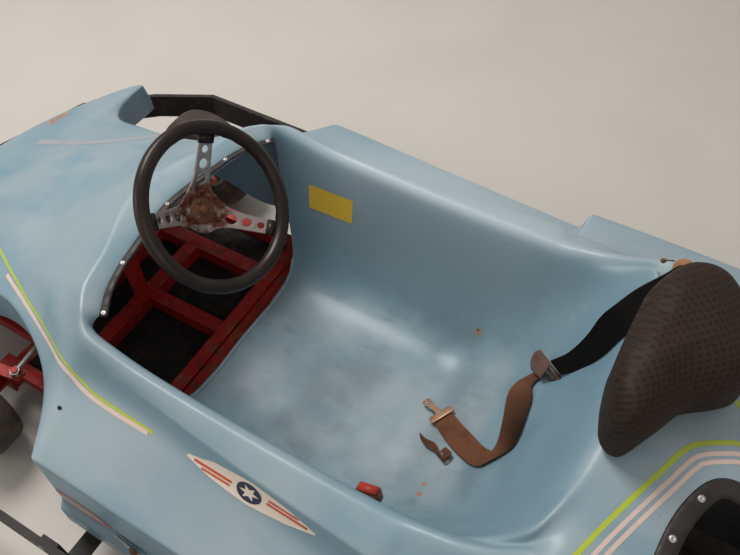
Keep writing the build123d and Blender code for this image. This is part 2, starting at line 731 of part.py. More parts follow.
def tub_loft(rows):
    """Loft a stretch of the tub, an open channel one wall thick."""
    sections = [
        cross_section(x, ((0, z_floor), (rim_half - floor_in, z_floor), (rim_half - knee_in, z_knee),
                          (rim_half - rim_in - lip_in, z_rim - lip_fall), (rim_half - rim_in, z_rim),
                          (rim_half - rim_in, z_rim - lip_deep), (rim_half - knee_in + shell, z_knee - shell),
                          (rim_half - floor_in + shell, z_floor - shell), (0, z_floor - shell)))
        for x, z_floor, floor_in, z_knee, knee_in, z_rim, rim_in in rows
    ]
    loft(sections, ruled=True)


with BuildPart() as tub:
    tub_loft(tub_rows)
save(tub, "tub")
with BuildPart() as seat_back:
    tub_loft(back_rows)
save(seat_back, "seat_back")

# Side pods
rim_flat = 10.0
pod_lean = 4.0
pod_side_z = 215.0
pod_foot_z = 160.0
pod_low_z = 140.0
# Columns: x, z_rim, z_crease
pod_rows = (
    (pod_front_x, 540.0, 398.0),
    (100.0, 508.0, 392.0),
    (-100.0, 500.0, 383.0),
    (pod_rear_x, 502.0, 366.0),
)
with BuildPart() as side_pods:
    for side in (1, -1):
        pod_sections = [
            side_section(x, ((rim_half, z_rim), (rim_half + rim_flat, z_rim), (crease_half, z_crease),
                             (crease_half + pod_lean, pod_side_z), (crease_half + pod_foot, pod_foot_z),
                             (crease_half + pod_foot, pod_low_z), (crease_half + pod_foot - shell, pod_low_z),
                             (crease_half + pod_foot - shell, pod_foot_z),
                             (crease_half + pod_lean - shell, pod_side_z),
                             (crease_half - shell, z_crease - shell),
                             (rim_half + rim_flat - 2, z_rim - lip_deep),
                             (rim_half, z_rim - lip_deep)), side)
            for x, z_rim, z_crease in pod_rows
        ]
        loft(pod_sections, ruled=True)
save(side_pods, "side_pods")

# Rear deck with its fenders and the two service openings
# Columns: x, z_spine, z_valley, z_shoulder, z_fender, z_skirt
deck_rows = (
    (pod_rear_x, spine_z, 600.0, 502.0, 416.0, 300.0),
    (-656.0, spine_z, 604.0, 588.0, 420.0, 320.0),
    (headrest_rear_x, spine_z, 592.0, 560.0, 418.0, 300.0),
    (-900.0, 612.0, 550.0, 515.0, 410.0, 250.0),
    (deck_rear_x, 520.0, 455.0, 430.0, 385.0, 245.0),
)
half_spine = 75.0
half_valley = 180.0
half_shoulder = rim_half + rim_flat
half_gutter = half_shoulder + 56.0
half_fender = crease_half + 3.0
gutter_rise = 22.0
arch_depth = 35.0


def deck_loft(rows, inset):
    """Loft the rear deck; inset draws the hollow inside it."""
    drop = inner_drop if inset else 0.0
    sections = [
        cross_section(x, ((0, z_spine - inset), (half_spine, z_spine - inset),
                          (half_valley, z_valley - inset), (half_shoulder, z_shoulder - 1.2 * inset),
                          (half_gutter - inset, z_fender + gutter_rise - inset),
                          (half_fender - 1.2 * inset, z_fender - inset),
                          (half_fender + 5 - inset, z_skirt - drop), (0, z_skirt - drop)))
        for x, z_spine, z_valley, z_shoulder, z_fender, z_skirt in rows
    ]
    loft(sections, ruled=True)


opening_front_x = -776.0
opening_rear_x = -985.0
opening_inner_y = 88.0
opening_outer_y = 300.0
opening_corner = 0.28 * (opening_front_x - opening_rear_x)
opening_mid_x = (opening_front_x + opening_rear_x) / 2
opening_mid_y = (opening_inner_y + opening_outer_y) / 2
seat_end_x = back_rows[-1][0] - shell
# Columns: x, in from the rim
seat_corners = ((-520.0, 0.0), (-570.0, 6.0), (seat_end_x, 34.0))
seat_half = [(0, rim_half)] + [(x, rim_half - inward) for x, inward in seat_corners]
with BuildPart() as deck_hollow:
    deck_loft(shortened(deck_rows), shell)
with BuildPart() as deck_skin:
    deck_loft(deck_rows, 0)
    add(deck_hollow.part, mode=Mode.SUBTRACT)
    with BuildSketch(Plane.XY) as seat_outline:
        with BuildLine():
            Polyline(*seat_half, *[(x, -y) for x, y in reversed(seat_half)], close=True)
        make_face()
    extrude(seat_outline.sketch, amount=2 * spine_z, mode=Mode.SUBTRACT)
    with BuildSketch(Plane.XY.offset(spine_z / 2)) as service_openings:
        for side in (1, -1):
            with Locations((opening_mid_x, side * opening_mid_y)):
                RectangleRounded(opening_front_x - opening_rear_x, opening_outer_y - opening_inner_y,
                                 opening_corner)
    extrude(service_openings.sketch, amount=spine_z, mode=Mode.SUBTRACT)
    for side in (1, -1):
        rod(Vector(rear_axle_x, side * (half_fender - arch_depth), axle_z),
            Vector(rear_axle_x, side * bumper_half_width, axle_z), rear_tyre_radius + arch_gap,
            mode=Mode.SUBTRACT)
with BuildPart() as rear_deck:
    add(deck_skin.part)
    block((deck_rear_x, -half_gutter, 0), (0, half_gutter, 2 * spine_z), mode=Mode.INTERSECT)
save(rear_deck, "rear_deck")
with BuildPart() as rear_fenders:
    add(deck_skin.part)
    block((2 * deck_rear_x, -half_gutter, 0), (0, half_gutter, 2 * spine_z), mode=Mode.SUBTRACT)
save(rear_fenders, "rear_fenders")

# Headrest pad
pad_round = 30.0
pad_fall = 12.0
pad_bulge = 26.0
# Columns: x, half_width, z_top
pad_rows = (
    (headrest_front_x, headrest_half - 42.0, headrest_top - 30.0),
    (-642.0, headrest_half - 6.0, headrest_top - 8.0),
    (-670.0, headrest_half, headrest_top),
    (-722.0, headrest_half - 66.0, headrest_top),
    (headrest_rear_x, headrest_half - 118.0, headrest_top - 22.0),
)
with BuildPart() as headrest_pad:
    pad_sections = [
        cross_section(x, ((0, z_top), (half_width - pad_round, z_top - pad_fall),
                          (half_width, spine_z + pad_bulge), (half_width - pad_fall, spine_z), (0, spine_z))
                      ).moved(Location((0, headrest_shift, 0)))
        for x, half_width, z_top in pad_rows
    ]
    loft(pad_sections, ruled=True)
save(headrest_pad, "headrest_pad")

# Dash trim strip under the hood's rear lip
trim_thick = 4.0
trim_ahead = 8.0
trim_behind = 12.0
trim_front_half = lip_half - 20.0
trim_rear_half = lip_half - 28.0
trim_z = hood_top_z - shell - trim_thick
trim_front_x = pod_front_x + 6.0
trim_rear_x = pod_front_x - 18.0
with BuildPart() as dash_trim:
    with BuildSketch(Plane.XY.offset(trim_z)) as strip:
        with BuildLine():
            ThreePointArc((trim_front_x, trim_front_half), (lip_front_x + trim_ahead, 0),
                          (trim_front_x, -trim_front_half))
            Line((trim_front_x, -trim_front_half), (trim_rear_x, -trim_rear_half))
            ThreePointArc((trim_rear_x, -trim_rear_half), (lip_front_x - trim_behind, 0),
                          (trim_rear_x, trim_rear_half))
            Line((trim_rear_x, trim_rear_half), (trim_front_x, trim_front_half))
        make_face()
    extrude(strip.sketch, amount=trim_thick)
save(dash_trim, "dash_trim")

# Engine on its plate behind the axle, placed from its crank centre
engine_base = rail_top + engine_plate_thick
engine_setback = 220.0
crank_x = rear_axle_x - engine_setback
crank_z = 190.0
case_left_y = 70.0
case_right_y = -110.0
case_top = 270.0
head_top = 330.0
fin_count = 6
fin_pitch = 10.0
fin_thick = 4.0
with BuildPart() as engine_block:
    block((crank_x - 80, case_right_y, engine_base), (crank_x + 60, case_left_y, case_top))
    block((crank_x - 60, case_right_y + 40, case_top), (crank_x + 40, case_left_y - 30, head_top))
    for fin in range(fin_count):
        fin_z = case_top + fin_thick + fin_pitch * fin
        block((crank_x - 75, case_right_y + 25, fin_z), (crank_x + 55, case_left_y - 15, fin_z + fin_thick))
save(engine_block, "engine_block")

# Blower housing on the engine's right, and the air cleaner ahead of the head
blower_radius = 92.0
blower_depth = 55.0
starter_radius = 55.0
starter_depth = 20.0
cleaner_ahead = 68.0
cleaner_x = crank_x + cleaner_ahead
cleaner_y = -20.0
cleaner_radius = 28.0
with BuildPart() as engine_covers:
    blower_z = crank_z + 20
    blower_end_y = case_right_y - blower_depth
    rod(Vector(crank_x, case_right_y, blower_z), Vector(crank_x, blower_end_y, blower_z), blower_radius)
    rod(Vector(crank_x, blower_end_y, blower_z), Vector(crank_x, blower_end_y - starter_depth, blower_z),
        starter_radius)
    rod(Vector(cleaner_x, cleaner_y, case_top - 8), Vector(cleaner_x, cleaner_y, head_top), cleaner_radius)
    block((crank_x + 40, cleaner_y - 14, case_top - 8), (cleaner_x, cleaner_y + 14, case_top + 14))
    add(engine_block.part, mode=Mode.SUBTRACT)
    block((crank_x + 40, case_right_y + 25, case_top - 70), (crank_x + 60, case_left_y - 15, head_top),
          mode=Mode.SUBTRACT)
save(engine_covers, "engine_covers")

# Fuel tank over the head, and the muffler behind it
tank_bottom = head_top + 6
tank_height = 84.0
tank_length = 150.0
tank_width = 190.0
tank_corner = 25.0
tank_shift = 10.0
tank_y = -30.0
cap_y = -60.0
cap_radius = 24.0
cap_height = 14.0
with BuildPart() as fuel_tank:
    with BuildSketch(Plane.XY.offset(tank_bottom)) as base:
        with Locations((crank_x - tank_shift, tank_y)):
            RectangleRounded(tank_length, tank_width, tank_corner)
    extrude(base.sketch, amount=tank_height)
    tank_top = tank_bottom + tank_height
    rod(Vector(crank_x - tank_shift, cap_y, tank_top),
        Vector(crank_x - tank_shift, cap_y, tank_top + cap_height), cap_radius)
    block((crank_x - 30, -50, head_top), (crank_x + 10, 20, tank_bottom))
save(fuel_tank, "fuel_tank")
muffler_setback = 125.0
muffler_x = crank_x - muffler_setback
muffler_radius = 38.0
muffler_z = case_top - 20.0
muffler_right_y = -90.0
muffler_left_y = 60.0
with BuildPart() as muffler:
    rod(Vector(muffler_x, muffler_right_y, muffler_z), Vector(muffler_x, muffler_left_y, muffler_z),
        muffler_radius)
    block((muffler_x + 5, -20, case_top - 40), (crank_x - 80, 10, case_top - 8))
save(muffler, "muffler")

# Clutch on the crank, and the chain to the axle sprocket
clutch_drum = 50.0
clutch_hub = 27.0
chain_height = 8.0
chain_width = 8.0
chain_run_gap = 2.5
clutch_hub_gap = 0.3
drum_near = 12.0
drum_far = 40.0
with BuildPart() as clutch:
    rod(Vector(crank_x, case_left_y, crank_z), Vector(crank_x, sprocket_y + drum_near, crank_z), clutch_hub)
    rod(Vector(crank_x, sprocket_y + drum_near, crank_z), Vector(crank_x, sprocket_y + drum_far, crank_z),
        clutch_drum)
save(clutch, "clutch")


def chain_outline(plane, big, small):
    """The filled outline around the axle and crank centres with the given radii."""
    with BuildSketch(plane) as profile:
        with Locations((rear_axle_x, axle_z)):
            Circle(big)
        with Locations((crank_x, crank_z)):
            Circle(small)
        make_hull()
    return profile.sketch


chain_plane = Plane.XZ.offset(-sprocket_y - chain_width / 2)
with BuildPart() as drive_chain:
    inner_big = sprocket_radius + chain_run_gap
    inner_small = clutch_hub + clutch_hub_gap
    extrude(chain_outline(chain_plane, inner_big + chain_height, inner_small + chain_height),
            amount=chain_width)
    extrude(chain_outline(chain_plane, inner_big, inner_small), amount=chain_width, mode=Mode.SUBTRACT)
save(drive_chain, "drive_chain")

# Pedals on the floor pan
pedal_ahead = 142.0
pedal_x = front_axle_x + pedal_ahead
pedal_y = 120.0
pedal_pad_z = 225.0
pedal_pad_width = 70.0
pedal_lean = 30.0
pedal_rod_radius = 7.0
pedal_pad_thick = 8.0
with BuildPart() as pedals:
    for side in (1, -1):
        base = Vector(pedal_x, side * pedal_y, rail_bottom)
        pad = Vector(pedal_x - pedal_lean, side * pedal_y, pedal_pad_z)
        rod(base, pad, pedal_rod_radius)
        bar(pad + Vector(4, 0, -34), pad + Vector(-8, 0, 40), pedal_pad_width, pedal_pad_thick)
    block((seat_member_x, -rail_outer_y, 0), (rail_front_x, rail_outer_y, rail_bottom), mode=Mode.SUBTRACT)
save(pedals, "pedals")

# Seat belt lying in the tub: webbing, adjuster, tongue, and the buckle on its stub
web_width = 50.0
web_thick = 3.0
# Columns: x, y, z of the webbing's middle line
upper_web = (
    (-648.0, 4.0 - rim_half, 596.5),
    (-606.0, 54.0 - rim_half, 610.0),
    (-566.0, -222.0, 524.0),
    (-508.0, -150.0, 354.0),
)
lower_web = (
    upper_web[-1],
    (-428.0, -80.0, 244.0),
    (-345.0, -30.0, 174.0),
    (-318.0, 0.0, 160.0),
)


def webbing(points):
    """Flat webbing along straight runs between points."""
    for start, end in zip(points, points[1:]):
        bar(Vector(*start), Vector(*end), web_width, web_thick)


with BuildPart() as belt_webbing:
    webbing(upper_web)
    webbing(lower_web)
save(belt_webbing, "belt_webbing")
buckle_x = -325.0
buckle_z = 340.0
buckle_wall_y = rim_half - 38.6
buckle_thick = 22.0
buckle_half = 25.0
stub_half = 15.0
stub_half_thick = 4.0
buckle_y = buckle_wall_y - 2 * buckle_thick
with BuildPart() as buckle:
    block((buckle_x - buckle_half, buckle_y, buckle_z - 10),
          (buckle_x + buckle_half, buckle_y + buckle_thick, buckle_z + 32))
    block((buckle_x - stub_half, buckle_y + buckle_thick, buckle_z - stub_half_thick),
          (buckle_x + stub_half, buckle_wall_y, buckle_z + stub_half_thick))
save(buckle, "buckle")
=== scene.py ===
import bpy
import bmesh
import json
import math
from mathutils import Vector, Matrix
from mathutils.bvhtree import BVHTree
from mathutils.geometry import delaunay_2d_cdt


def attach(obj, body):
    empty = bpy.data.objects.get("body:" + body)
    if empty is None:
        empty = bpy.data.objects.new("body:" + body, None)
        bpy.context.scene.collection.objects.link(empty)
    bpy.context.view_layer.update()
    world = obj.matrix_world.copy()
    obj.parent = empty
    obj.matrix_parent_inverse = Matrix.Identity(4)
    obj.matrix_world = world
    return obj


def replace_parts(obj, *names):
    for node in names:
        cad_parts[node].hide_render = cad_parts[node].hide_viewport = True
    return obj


# Racing kart. Tables are in millimetres, in the same frame as the solids; meshes are in metres.
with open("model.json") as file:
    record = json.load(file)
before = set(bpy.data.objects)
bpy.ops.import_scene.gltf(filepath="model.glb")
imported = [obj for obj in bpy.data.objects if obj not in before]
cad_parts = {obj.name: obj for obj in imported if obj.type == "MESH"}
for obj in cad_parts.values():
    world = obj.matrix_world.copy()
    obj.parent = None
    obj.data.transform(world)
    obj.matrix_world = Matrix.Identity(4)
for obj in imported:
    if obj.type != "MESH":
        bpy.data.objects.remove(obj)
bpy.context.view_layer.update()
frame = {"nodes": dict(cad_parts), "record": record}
nodes = frame["nodes"]
MM = 0.001

# Places that the solids use
front_axle_x = 618
front_wheel_y = 456
front_wheel_z = 143
rear_axle_x = -640
rear_wheel_y = 415
rear_wheel_z = 142
column_drop = math.radians(38)
column_axis = Vector((math.cos(column_drop), 0, -math.sin(column_drop)))
wheel_up = Vector((math.sin(column_drop), 0, math.cos(column_drop)))
wheel_centre = Vector((150, 0, 604))
hub_centre = wheel_centre + column_axis * 56


def srgb(red, green, blue):
    """A linear colour from 0 to 255 display values."""
    def linear(value):
        share = value / 255
        return share / 12.92 if share <= 0.04045 else ((share + 0.055) / 1.055) ** 2.4
    return (linear(red), linear(green), linear(blue), 1)


class Surface:
    """A procedural material made of a base colour, tinted masks, roughness masks and bump."""

    def __init__(self, name, base, roughness, metallic=0, coat=0, coat_roughness=0.1, sheen=0,
                 specular=0.5):
        self.material = bpy.data.materials.new(name)
        self.material.use_nodes = True
        self.tree = self.material.node_tree
        self.shader = self.tree.nodes["Principled BSDF"]
        for socket, value in (("Metallic", metallic), ("Coat Weight", coat), ("Sheen Weight", sheen),
                              ("Coat Roughness", coat_roughness), ("Specular IOR Level", specular)):
            self.shader.inputs[socket].default_value = value
        self.place = self.node("ShaderNodeTexCoord").outputs["Object"]
        self.base = base
        self.colour = None
        self.rough = None
        self.base_rough = roughness
        self.height = None
        self.seed = 0

    def node(self, kind, **settings):
        made = self.tree.nodes.new(kind)
        for key, value in settings.items():
            setattr(made, key, value)
        return made

    def link(self, source, target):
        if hasattr(source, "links"):
            self.tree.links.new(source, target)
        else:
            target.default_value = source

    def math(self, operation, first, second=0):
        made = self.node("ShaderNodeMath", operation=operation, use_clamp=False)
        self.link(first, made.inputs[0])
        self.link(second, made.inputs[1])
        return made.outputs[0]

    def ramp(self, value, low, high):
        made = self.node("ShaderNodeMapRange", interpolation_type="SMOOTHSTEP")
        self.link(value, made.inputs["Value"])
        made.inputs["From Min"].default_value = low
        made.inputs["From Max"].default_value = high
        return made.outputs["Result"]

    def placed(self, stretch=(1, 1, 1), turn=(0, 0, 0)):
        self.seed += 3.7
        made = self.node("ShaderNodeMapping")
        made.inputs["Scale"].default_value = stretch
        made.inputs["Rotation"].default_value = turn
        made.inputs["Location"].default_value = (self.seed, self.seed * 0.6, -self.seed)
        self.link(self.place, made.inputs["Vector"])
        return made.outputs["Vector"]

    def noise(self, scale, low, high, detail=5, stretch=(1, 1, 1), turn=(0, 0, 0)):
        made = self.node("ShaderNodeTexNoise")
        made.inputs["Scale"].default_value = scale
        made.inputs["Detail"].default_value = detail
        self.link(self.placed(stretch, turn), made.inputs["Vector"])
        return self.ramp(made.outputs["Fac"], low, high)

    def cells(self, scale, low, high, stretch=(1, 1, 1)):
        made = self.node("ShaderNodeTexVoronoi", feature="F1")
        made.inputs["Scale"].default_value = scale
        self.link(self.placed(stretch), made.inputs["Vector"])
        return self.ramp(made.outputs["Distance"], low, high)

    def wave(self, scale, axis="X", distortion=0, turn=(0, 0, 0), low=0, high=1):
        made = self.node("ShaderNodeTexWave", bands_direction=axis)
        made.inputs["Scale"].default_value = scale
        made.inputs["Distortion"].default_value = distortion
        self.link(self.placed((1, 1, 1), turn), made.inputs["Vector"])
        return self.ramp(made.outputs["Fac"], low, high)

    def near(self, point, inner, outer):
        """1 within inner mm of a point, falling to 0 at outer mm."""
        made = self.node("ShaderNodeVectorMath", operation="DISTANCE")
        self.link(self.place, made.inputs[0])
        made.inputs[1].default_value = tuple(value * MM for value in point)
        return self.ramp(made.outputs["Value"], outer * MM, inner * MM)

    def along(self, axis, low, high):
        """0 below low mm, 1 above high mm, along an axis 0 to 2."""
        made = self.node("ShaderNodeSeparateXYZ")
        self.link(self.place, made.inputs[0])
        return self.ramp(made.outputs[axis], low * MM, high * MM)

    def facing(self, axis, low, high):
        normal = self.node("ShaderNodeNewGeometry").outputs["Normal"]
        made = self.node("ShaderNodeSeparateXYZ")
        self.link(normal, made.inputs[0])
        return self.ramp(made.outputs[axis], low, high)

    def pointed(self, low, high):
        """Convex edges, for wear and a painted highlight."""
        return self.ramp(self.node("ShaderNodeNewGeometry").outputs["Pointiness"], low, high)

    def times(self, first, second):
        return self.math("MULTIPLY", first, second)

    def tint(self, mask, colour, amount=1):
        made = self.node("ShaderNodeMix", data_type="RGBA")
        self.link(self.times(mask, amount), made.inputs[0])
        self.link(self.base if self.colour is None else self.colour, made.inputs[6])
        made.inputs[7].default_value = colour
        self.colour = made.outputs[2]
        return self

    def roughen(self, mask, value):
        made = self.node("ShaderNodeMix", data_type="FLOAT")
        self.link(mask, made.inputs[0])
        self.link(self.base_rough if self.rough is None else self.rough, made.inputs[2])
        made.inputs[3].default_value = value
        self.rough = made.outputs[0]
        return self

    def raise_by(self, mask, millimetres):
        step = self.times(mask, millimetres * MM)
        self.height = step if self.height is None else self.math("ADD", self.height, step)
        return self

    def done(self):
        if self.colour is None:
            self.tint(self.noise(40, 0.35, 0.7), tuple(0.8 * c for c in self.base[:3]) + (1,), 0.5)
        self.link(self.colour, self.shader.inputs["Base Color"])
        self.link(self.base_rough if self.rough is None else self.rough, self.shader.inputs["Roughness"])
        if self.height is not None:
            made = self.node("ShaderNodeBump")
            made.inputs["Strength"].default_value = 1
            made.inputs["Distance"].default_value = 1
            self.link(self.height, made.inputs["Height"])
            self.link(made.outputs["Normal"], self.shader.inputs["Normal"])
        return self.material


# Materials. Rust spots in the tub: place, full within, gone by
rust_spots = (((-377, 151, 195), 3, 10), ((-375, 126, 191), 2, 8), ((-318, -236, 222), 4, 14))
wing_chips = ((966, -252, 276), (962, -282, 276))


def body_material():
    """Sky-blue moulded plastic, sun-chalked with painted top light where it faces up, with painted light on
    the far tub wall and edge wear with a painted highlight on convex edges, scuffed in the tub.
    """
    skin = Surface("body_blue", srgb(116, 148, 163), 0.46, coat=0.2, coat_roughness=0.22)
    # Lighter where the skin faces up: sun-chalking, and also a painted top light.
    up = skin.facing(2, 0.3, 0.98)
    skin.tint(skin.times(up, skin.noise(3.5, 0.2, 0.7, 3)), srgb(158, 171, 176), 0.85)
    skin.tint(skin.noise(6, 0.5, 0.8, 4, (1, 2.2, 1)), srgb(98, 142, 166), 0.45)
    skin.tint(skin.noise(3, 0.5, 0.75, 2), srgb(150, 152, 156), 0.25)
    lows = skin.math("SUBTRACT", 1, skin.along(2, 330, 480))
    in_tub = skin.times(lows, skin.near((-120, 0, 260), 300, 520))
    skin.tint(skin.times(in_tub, skin.noise(7, 0.4, 0.7, 4)), srgb(92, 110, 118), 0.5)
    skin.tint(skin.times(in_tub, skin.noise(24, 0.55, 0.8, 6, (0.5, 1, 1))), srgb(66, 74, 78), 0.3)
    # Painted light: the upper far tub wall is drawn lighter, as if lit.
    far_wall_painted_light = skin.math("SUBTRACT", 1, skin.along(1, -330, -200))
    skin.tint(skin.times(far_wall_painted_light, skin.near((-150, -290, 440), 160, 460)), srgb(178, 192, 198), 0.75)
    skin.tint(skin.noise(130, 0.72, 0.8, 2), srgb(74, 86, 92), 0.3)
    streaks = skin.times(skin.noise(26, 0.60, 0.70, 8, (0.25, 1, 1)), skin.noise(5, 0.5, 0.7))
    skin.tint(streaks, srgb(166, 180, 184), 0.3)
    # Edge wear, and also a painted highlight along convex edges and the pod's ridge.
    skin.tint(skin.pointed(0.52, 0.57), srgb(184, 200, 205), 0.75)
    for point, inner, outer in rust_spots:
        skin.tint(skin.near(point, inner, outer), srgb(176, 112, 66), 0.8)
    chipped = skin.math("MAXIMUM", skin.near(wing_chips[0], 12, 30), skin.near(wing_chips[1], 12, 30))
    chip = skin.times(chipped, skin.noise(55, 0.34, 0.42, 6, (1, 1, 0.4)))
    skin.tint(chip, srgb(168, 124, 90), 0.95)
    skin.tint(skin.times(chip, skin.noise(140, 0.62, 0.66, 3)), srgb(232, 222, 210), 0.9)
    skin.tint(skin.times(chip, skin.noise(170, 0.6, 0.66, 3)), srgb(90, 60, 44), 0.8)
    skin.roughen(skin.noise(22, 0.4, 0.75), 0.6)
    skin.raise_by(skin.noise(8, 0.2, 0.8, 2), 0.2)
    skin.raise_by(skin.noise(900, 0.3, 0.7, 1), 0.012)
    return skin.done()


def red_paint():
    """Worn red frame paint with rust and dust, drawn near black above about 300 mm."""
    paint = Surface("frame_red", srgb(176, 32, 24), 0.5)
    paint.tint(paint.noise(30, 0.52, 0.68, 8), srgb(98, 46, 28), 0.75)
    paint.tint(paint.noise(90, 0.6, 0.7, 6), srgb(62, 36, 28), 0.7)
    paint.tint(paint.times(paint.facing(2, 0.5, 1), paint.noise(18, 0.5, 0.8)), srgb(150, 124, 92), 0.55)
    # Frame parts above about 300 mm, the top of the column's support, are drawn near black.
    paint.tint(paint.along(2, 290, 330), srgb(30, 26, 24), 0.95)
    paint.roughen(paint.noise(30, 0.5, 0.66, 8), 0.8)
    paint.raise_by(paint.noise(90, 0.5, 0.7, 6), 0.25)
    return paint.done()


def black_rubber():
    """Black band rubber, dusty and scuffed."""
    rubber = Surface("band_rubber", srgb(34, 30, 28), 0.62)
    rubber.tint(rubber.noise(25, 0.5, 0.75), srgb(70, 58, 48), 0.5)
    rubber.tint(rubber.noise(70, 0.62, 0.7, 7, (0.3, 1, 1)), srgb(96, 84, 72), 0.5)
    rubber.raise_by(rubber.noise(300, 0.4, 0.7), 0.08)
    return rubber.done()


def tyre_material():
    """Slick tyre, brown with dust on the tread."""
    tyre = Surface("tyre_rubber", srgb(58, 50, 45), 0.8)
    tyre.tint(tyre.noise(16, 0.35, 0.75), srgb(104, 86, 72), 0.7)
    tyre.tint(tyre.noise(60, 0.55, 0.7, 7), srgb(38, 33, 30), 0.6)
    tyre.raise_by(tyre.noise(220, 0.4, 0.7), 0.15)
    tyre.raise_by(tyre.cells(70, 0, 0.12), 0.2)
    return tyre.done()


def grip_material():
    """Glossy dark-brown steering rim, lighter brown in blotches."""
    grip = Surface("grip", srgb(32, 22, 17), 0.36, coat=0.08, coat_roughness=0.15, specular=0.3)
    grip.tint(grip.noise(16, 0.45, 0.7, 5), srgb(58, 45, 37), 0.5)
    grip.tint(grip.noise(150, 0.62, 0.74, 4), srgb(84, 68, 56), 0.2)
    grip.roughen(grip.noise(40, 0.45, 0.7), 0.4)
    grip.raise_by(grip.noise(150, 0.4, 0.7), 0.05)
    return grip.done()


def spoke_material():
    """Brushed plate, rusty at the hub."""
    steel = Surface("spoke_steel", srgb(178, 164, 160), 0.34, metallic=0.9)
    near_hub = steel.near(tuple(hub_centre), 40, 74)
    rust = steel.times(near_hub, steel.noise(45, 0.3, 0.55, 8))
    steel.tint(steel.noise(160, 0.5, 0.75, 4), srgb(142, 126, 120), 0.5)
    steel.tint(rust, srgb(112, 60, 38), 0.95)
    steel.tint(steel.times(rust, steel.noise(120, 0.5, 0.62, 6)), srgb(70, 40, 28), 0.8)
    steel.roughen(rust, 0.72)
    steel.raise_by(steel.times(rust, steel.noise(260, 0.4, 0.7)), 0.15)
    return steel.done()


def plain_metal(name, base, roughness, stain, stained, metallic):
    """Paint or metal with one stain."""
    metal = Surface(name, base, roughness, metallic=metallic)
    metal.tint(metal.noise(35, 0.45, 0.7, 6), stain, stained)
    metal.roughen(metal.noise(50, 0.4, 0.7), min(1, roughness + 0.25))
    metal.raise_by(metal.noise(240, 0.4, 0.7), 0.06)
    return metal.done()


def vinyl_material():
    """Dark brown vinyl embossed with a small basket weave."""
    vinyl = Surface("pad_vinyl", srgb(34, 22, 15), 0.62, specular=0.25)
    one = vinyl.wave(42, "DIAGONAL", 0, (0.3, 0.2, 0.2))
    other = vinyl.wave(42, "DIAGONAL", 0, (0.3, -0.2, 1.8))
    weave = vinyl.math("MAXIMUM", one, other)
    vinyl.tint(vinyl.ramp(weave, 0.5, 0.98), srgb(56, 40, 30), 0.5)
    vinyl.tint(vinyl.noise(9, 0.42, 0.75, 4), srgb(58, 42, 32), 0.35)
    vinyl.tint(vinyl.noise(80, 0.6, 0.72, 5), srgb(28, 21, 17), 0.5)
    vinyl.raise_by(weave, 0.4)
    return vinyl.done()


def web_material():
    """Seat-belt webbing, black above and sun-browned below."""
    web = Surface("webbing", srgb(9, 8, 7), 0.85, specular=0.15)
    faded = web.math("SUBTRACT", 1, web.along(2, 280, 350))
    web.tint(faded, srgb(128, 84, 60), 0.92)
    web.tint(web.times(faded, web.noise(30, 0.4, 0.7)), srgb(92, 60, 44), 0.6)
    ribs = web.wave(180, "X", 0, (0, 0, 0.7))
    web.tint(ribs, srgb(20, 16, 14), 0.25)
    web.raise_by(ribs, 0.25)
    return web.done()


def cloth_material(name, base, stain):
    """Sun-browned webbing with ribs."""
    web = Surface(name, base, 0.8, sheen=0.2)
    web.tint(web.noise(40, 0.4, 0.7), stain, 0.7)
    ribs = web.wave(180, "X", 0, (0, 0, 0.7))
    web.tint(ribs, stain, 0.3)
    web.raise_by(ribs, 0.25)
    return web.done()


def print_material(name, base, wear):
    """A flat film worn through to the body in places: printed, except the far waist band, which is a painted
    reflection.
    """
    film = Surface(name, base, 0.45)
    film.tint(film.noise(60, 0.55, 0.75, 6), tuple(0.8 * c for c in base[:3]) + (1,), 0.5)
    film.tint(film.noise(28, 0.66, 0.72, 8), srgb(136, 158, 170), wear)
    film.tint(film.noise(200, 0.66, 0.74, 3), srgb(140, 160, 170), 0.3)
    return film.done()


# Rows: name, base, roughness, stain, share stained, metallic
metal_rows = (
    ("rim_paint", (150, 146, 140), 0.45, (96, 80, 66), 0.7, 0.7),
    ("steel", (150, 146, 142), 0.35, (92, 64, 46), 0.6, 0.9),
    ("buckle_red", (196, 62, 40), 0.4, (140, 40, 28), 0.5, 0),
    ("engine_dark", (74, 72, 70), 0.55, (46, 38, 32), 0.7, 0.5),
    ("blower_black", (38, 32, 29), 0.5, (60, 52, 46), 0.5, 0),
    ("tank_dark", (30, 27, 25), 0.4, (58, 48, 40), 0.5, 0),
    # Near black: painted shade of the footwell under the hood on the floor pan, and of the openings under the
    # slot and hole films.
    ("pan_dark", (26, 22, 20), 0.7, (58, 42, 32), 0.7, 0.2),
    ("muffler_metal", (118, 106, 98), 0.5, (86, 54, 38), 0.8, 0.9),
    ("chain_steel", (92, 86, 80), 0.4, (46, 36, 28), 0.8, 0.9),
    ("hub_rust", (104, 72, 52), 0.62, (140, 74, 38), 0.8, 0.4),
    ("rusty_metal", (132, 96, 70), 0.55, (92, 52, 32), 0.85, 0.6),
    ("tongue_metal", (152, 120, 96), 0.45, (150, 96, 60), 0.6, 0.7),
    ("screw", (196, 192, 186), 0.28, (120, 104, 90), 0.4, 0.9),
)
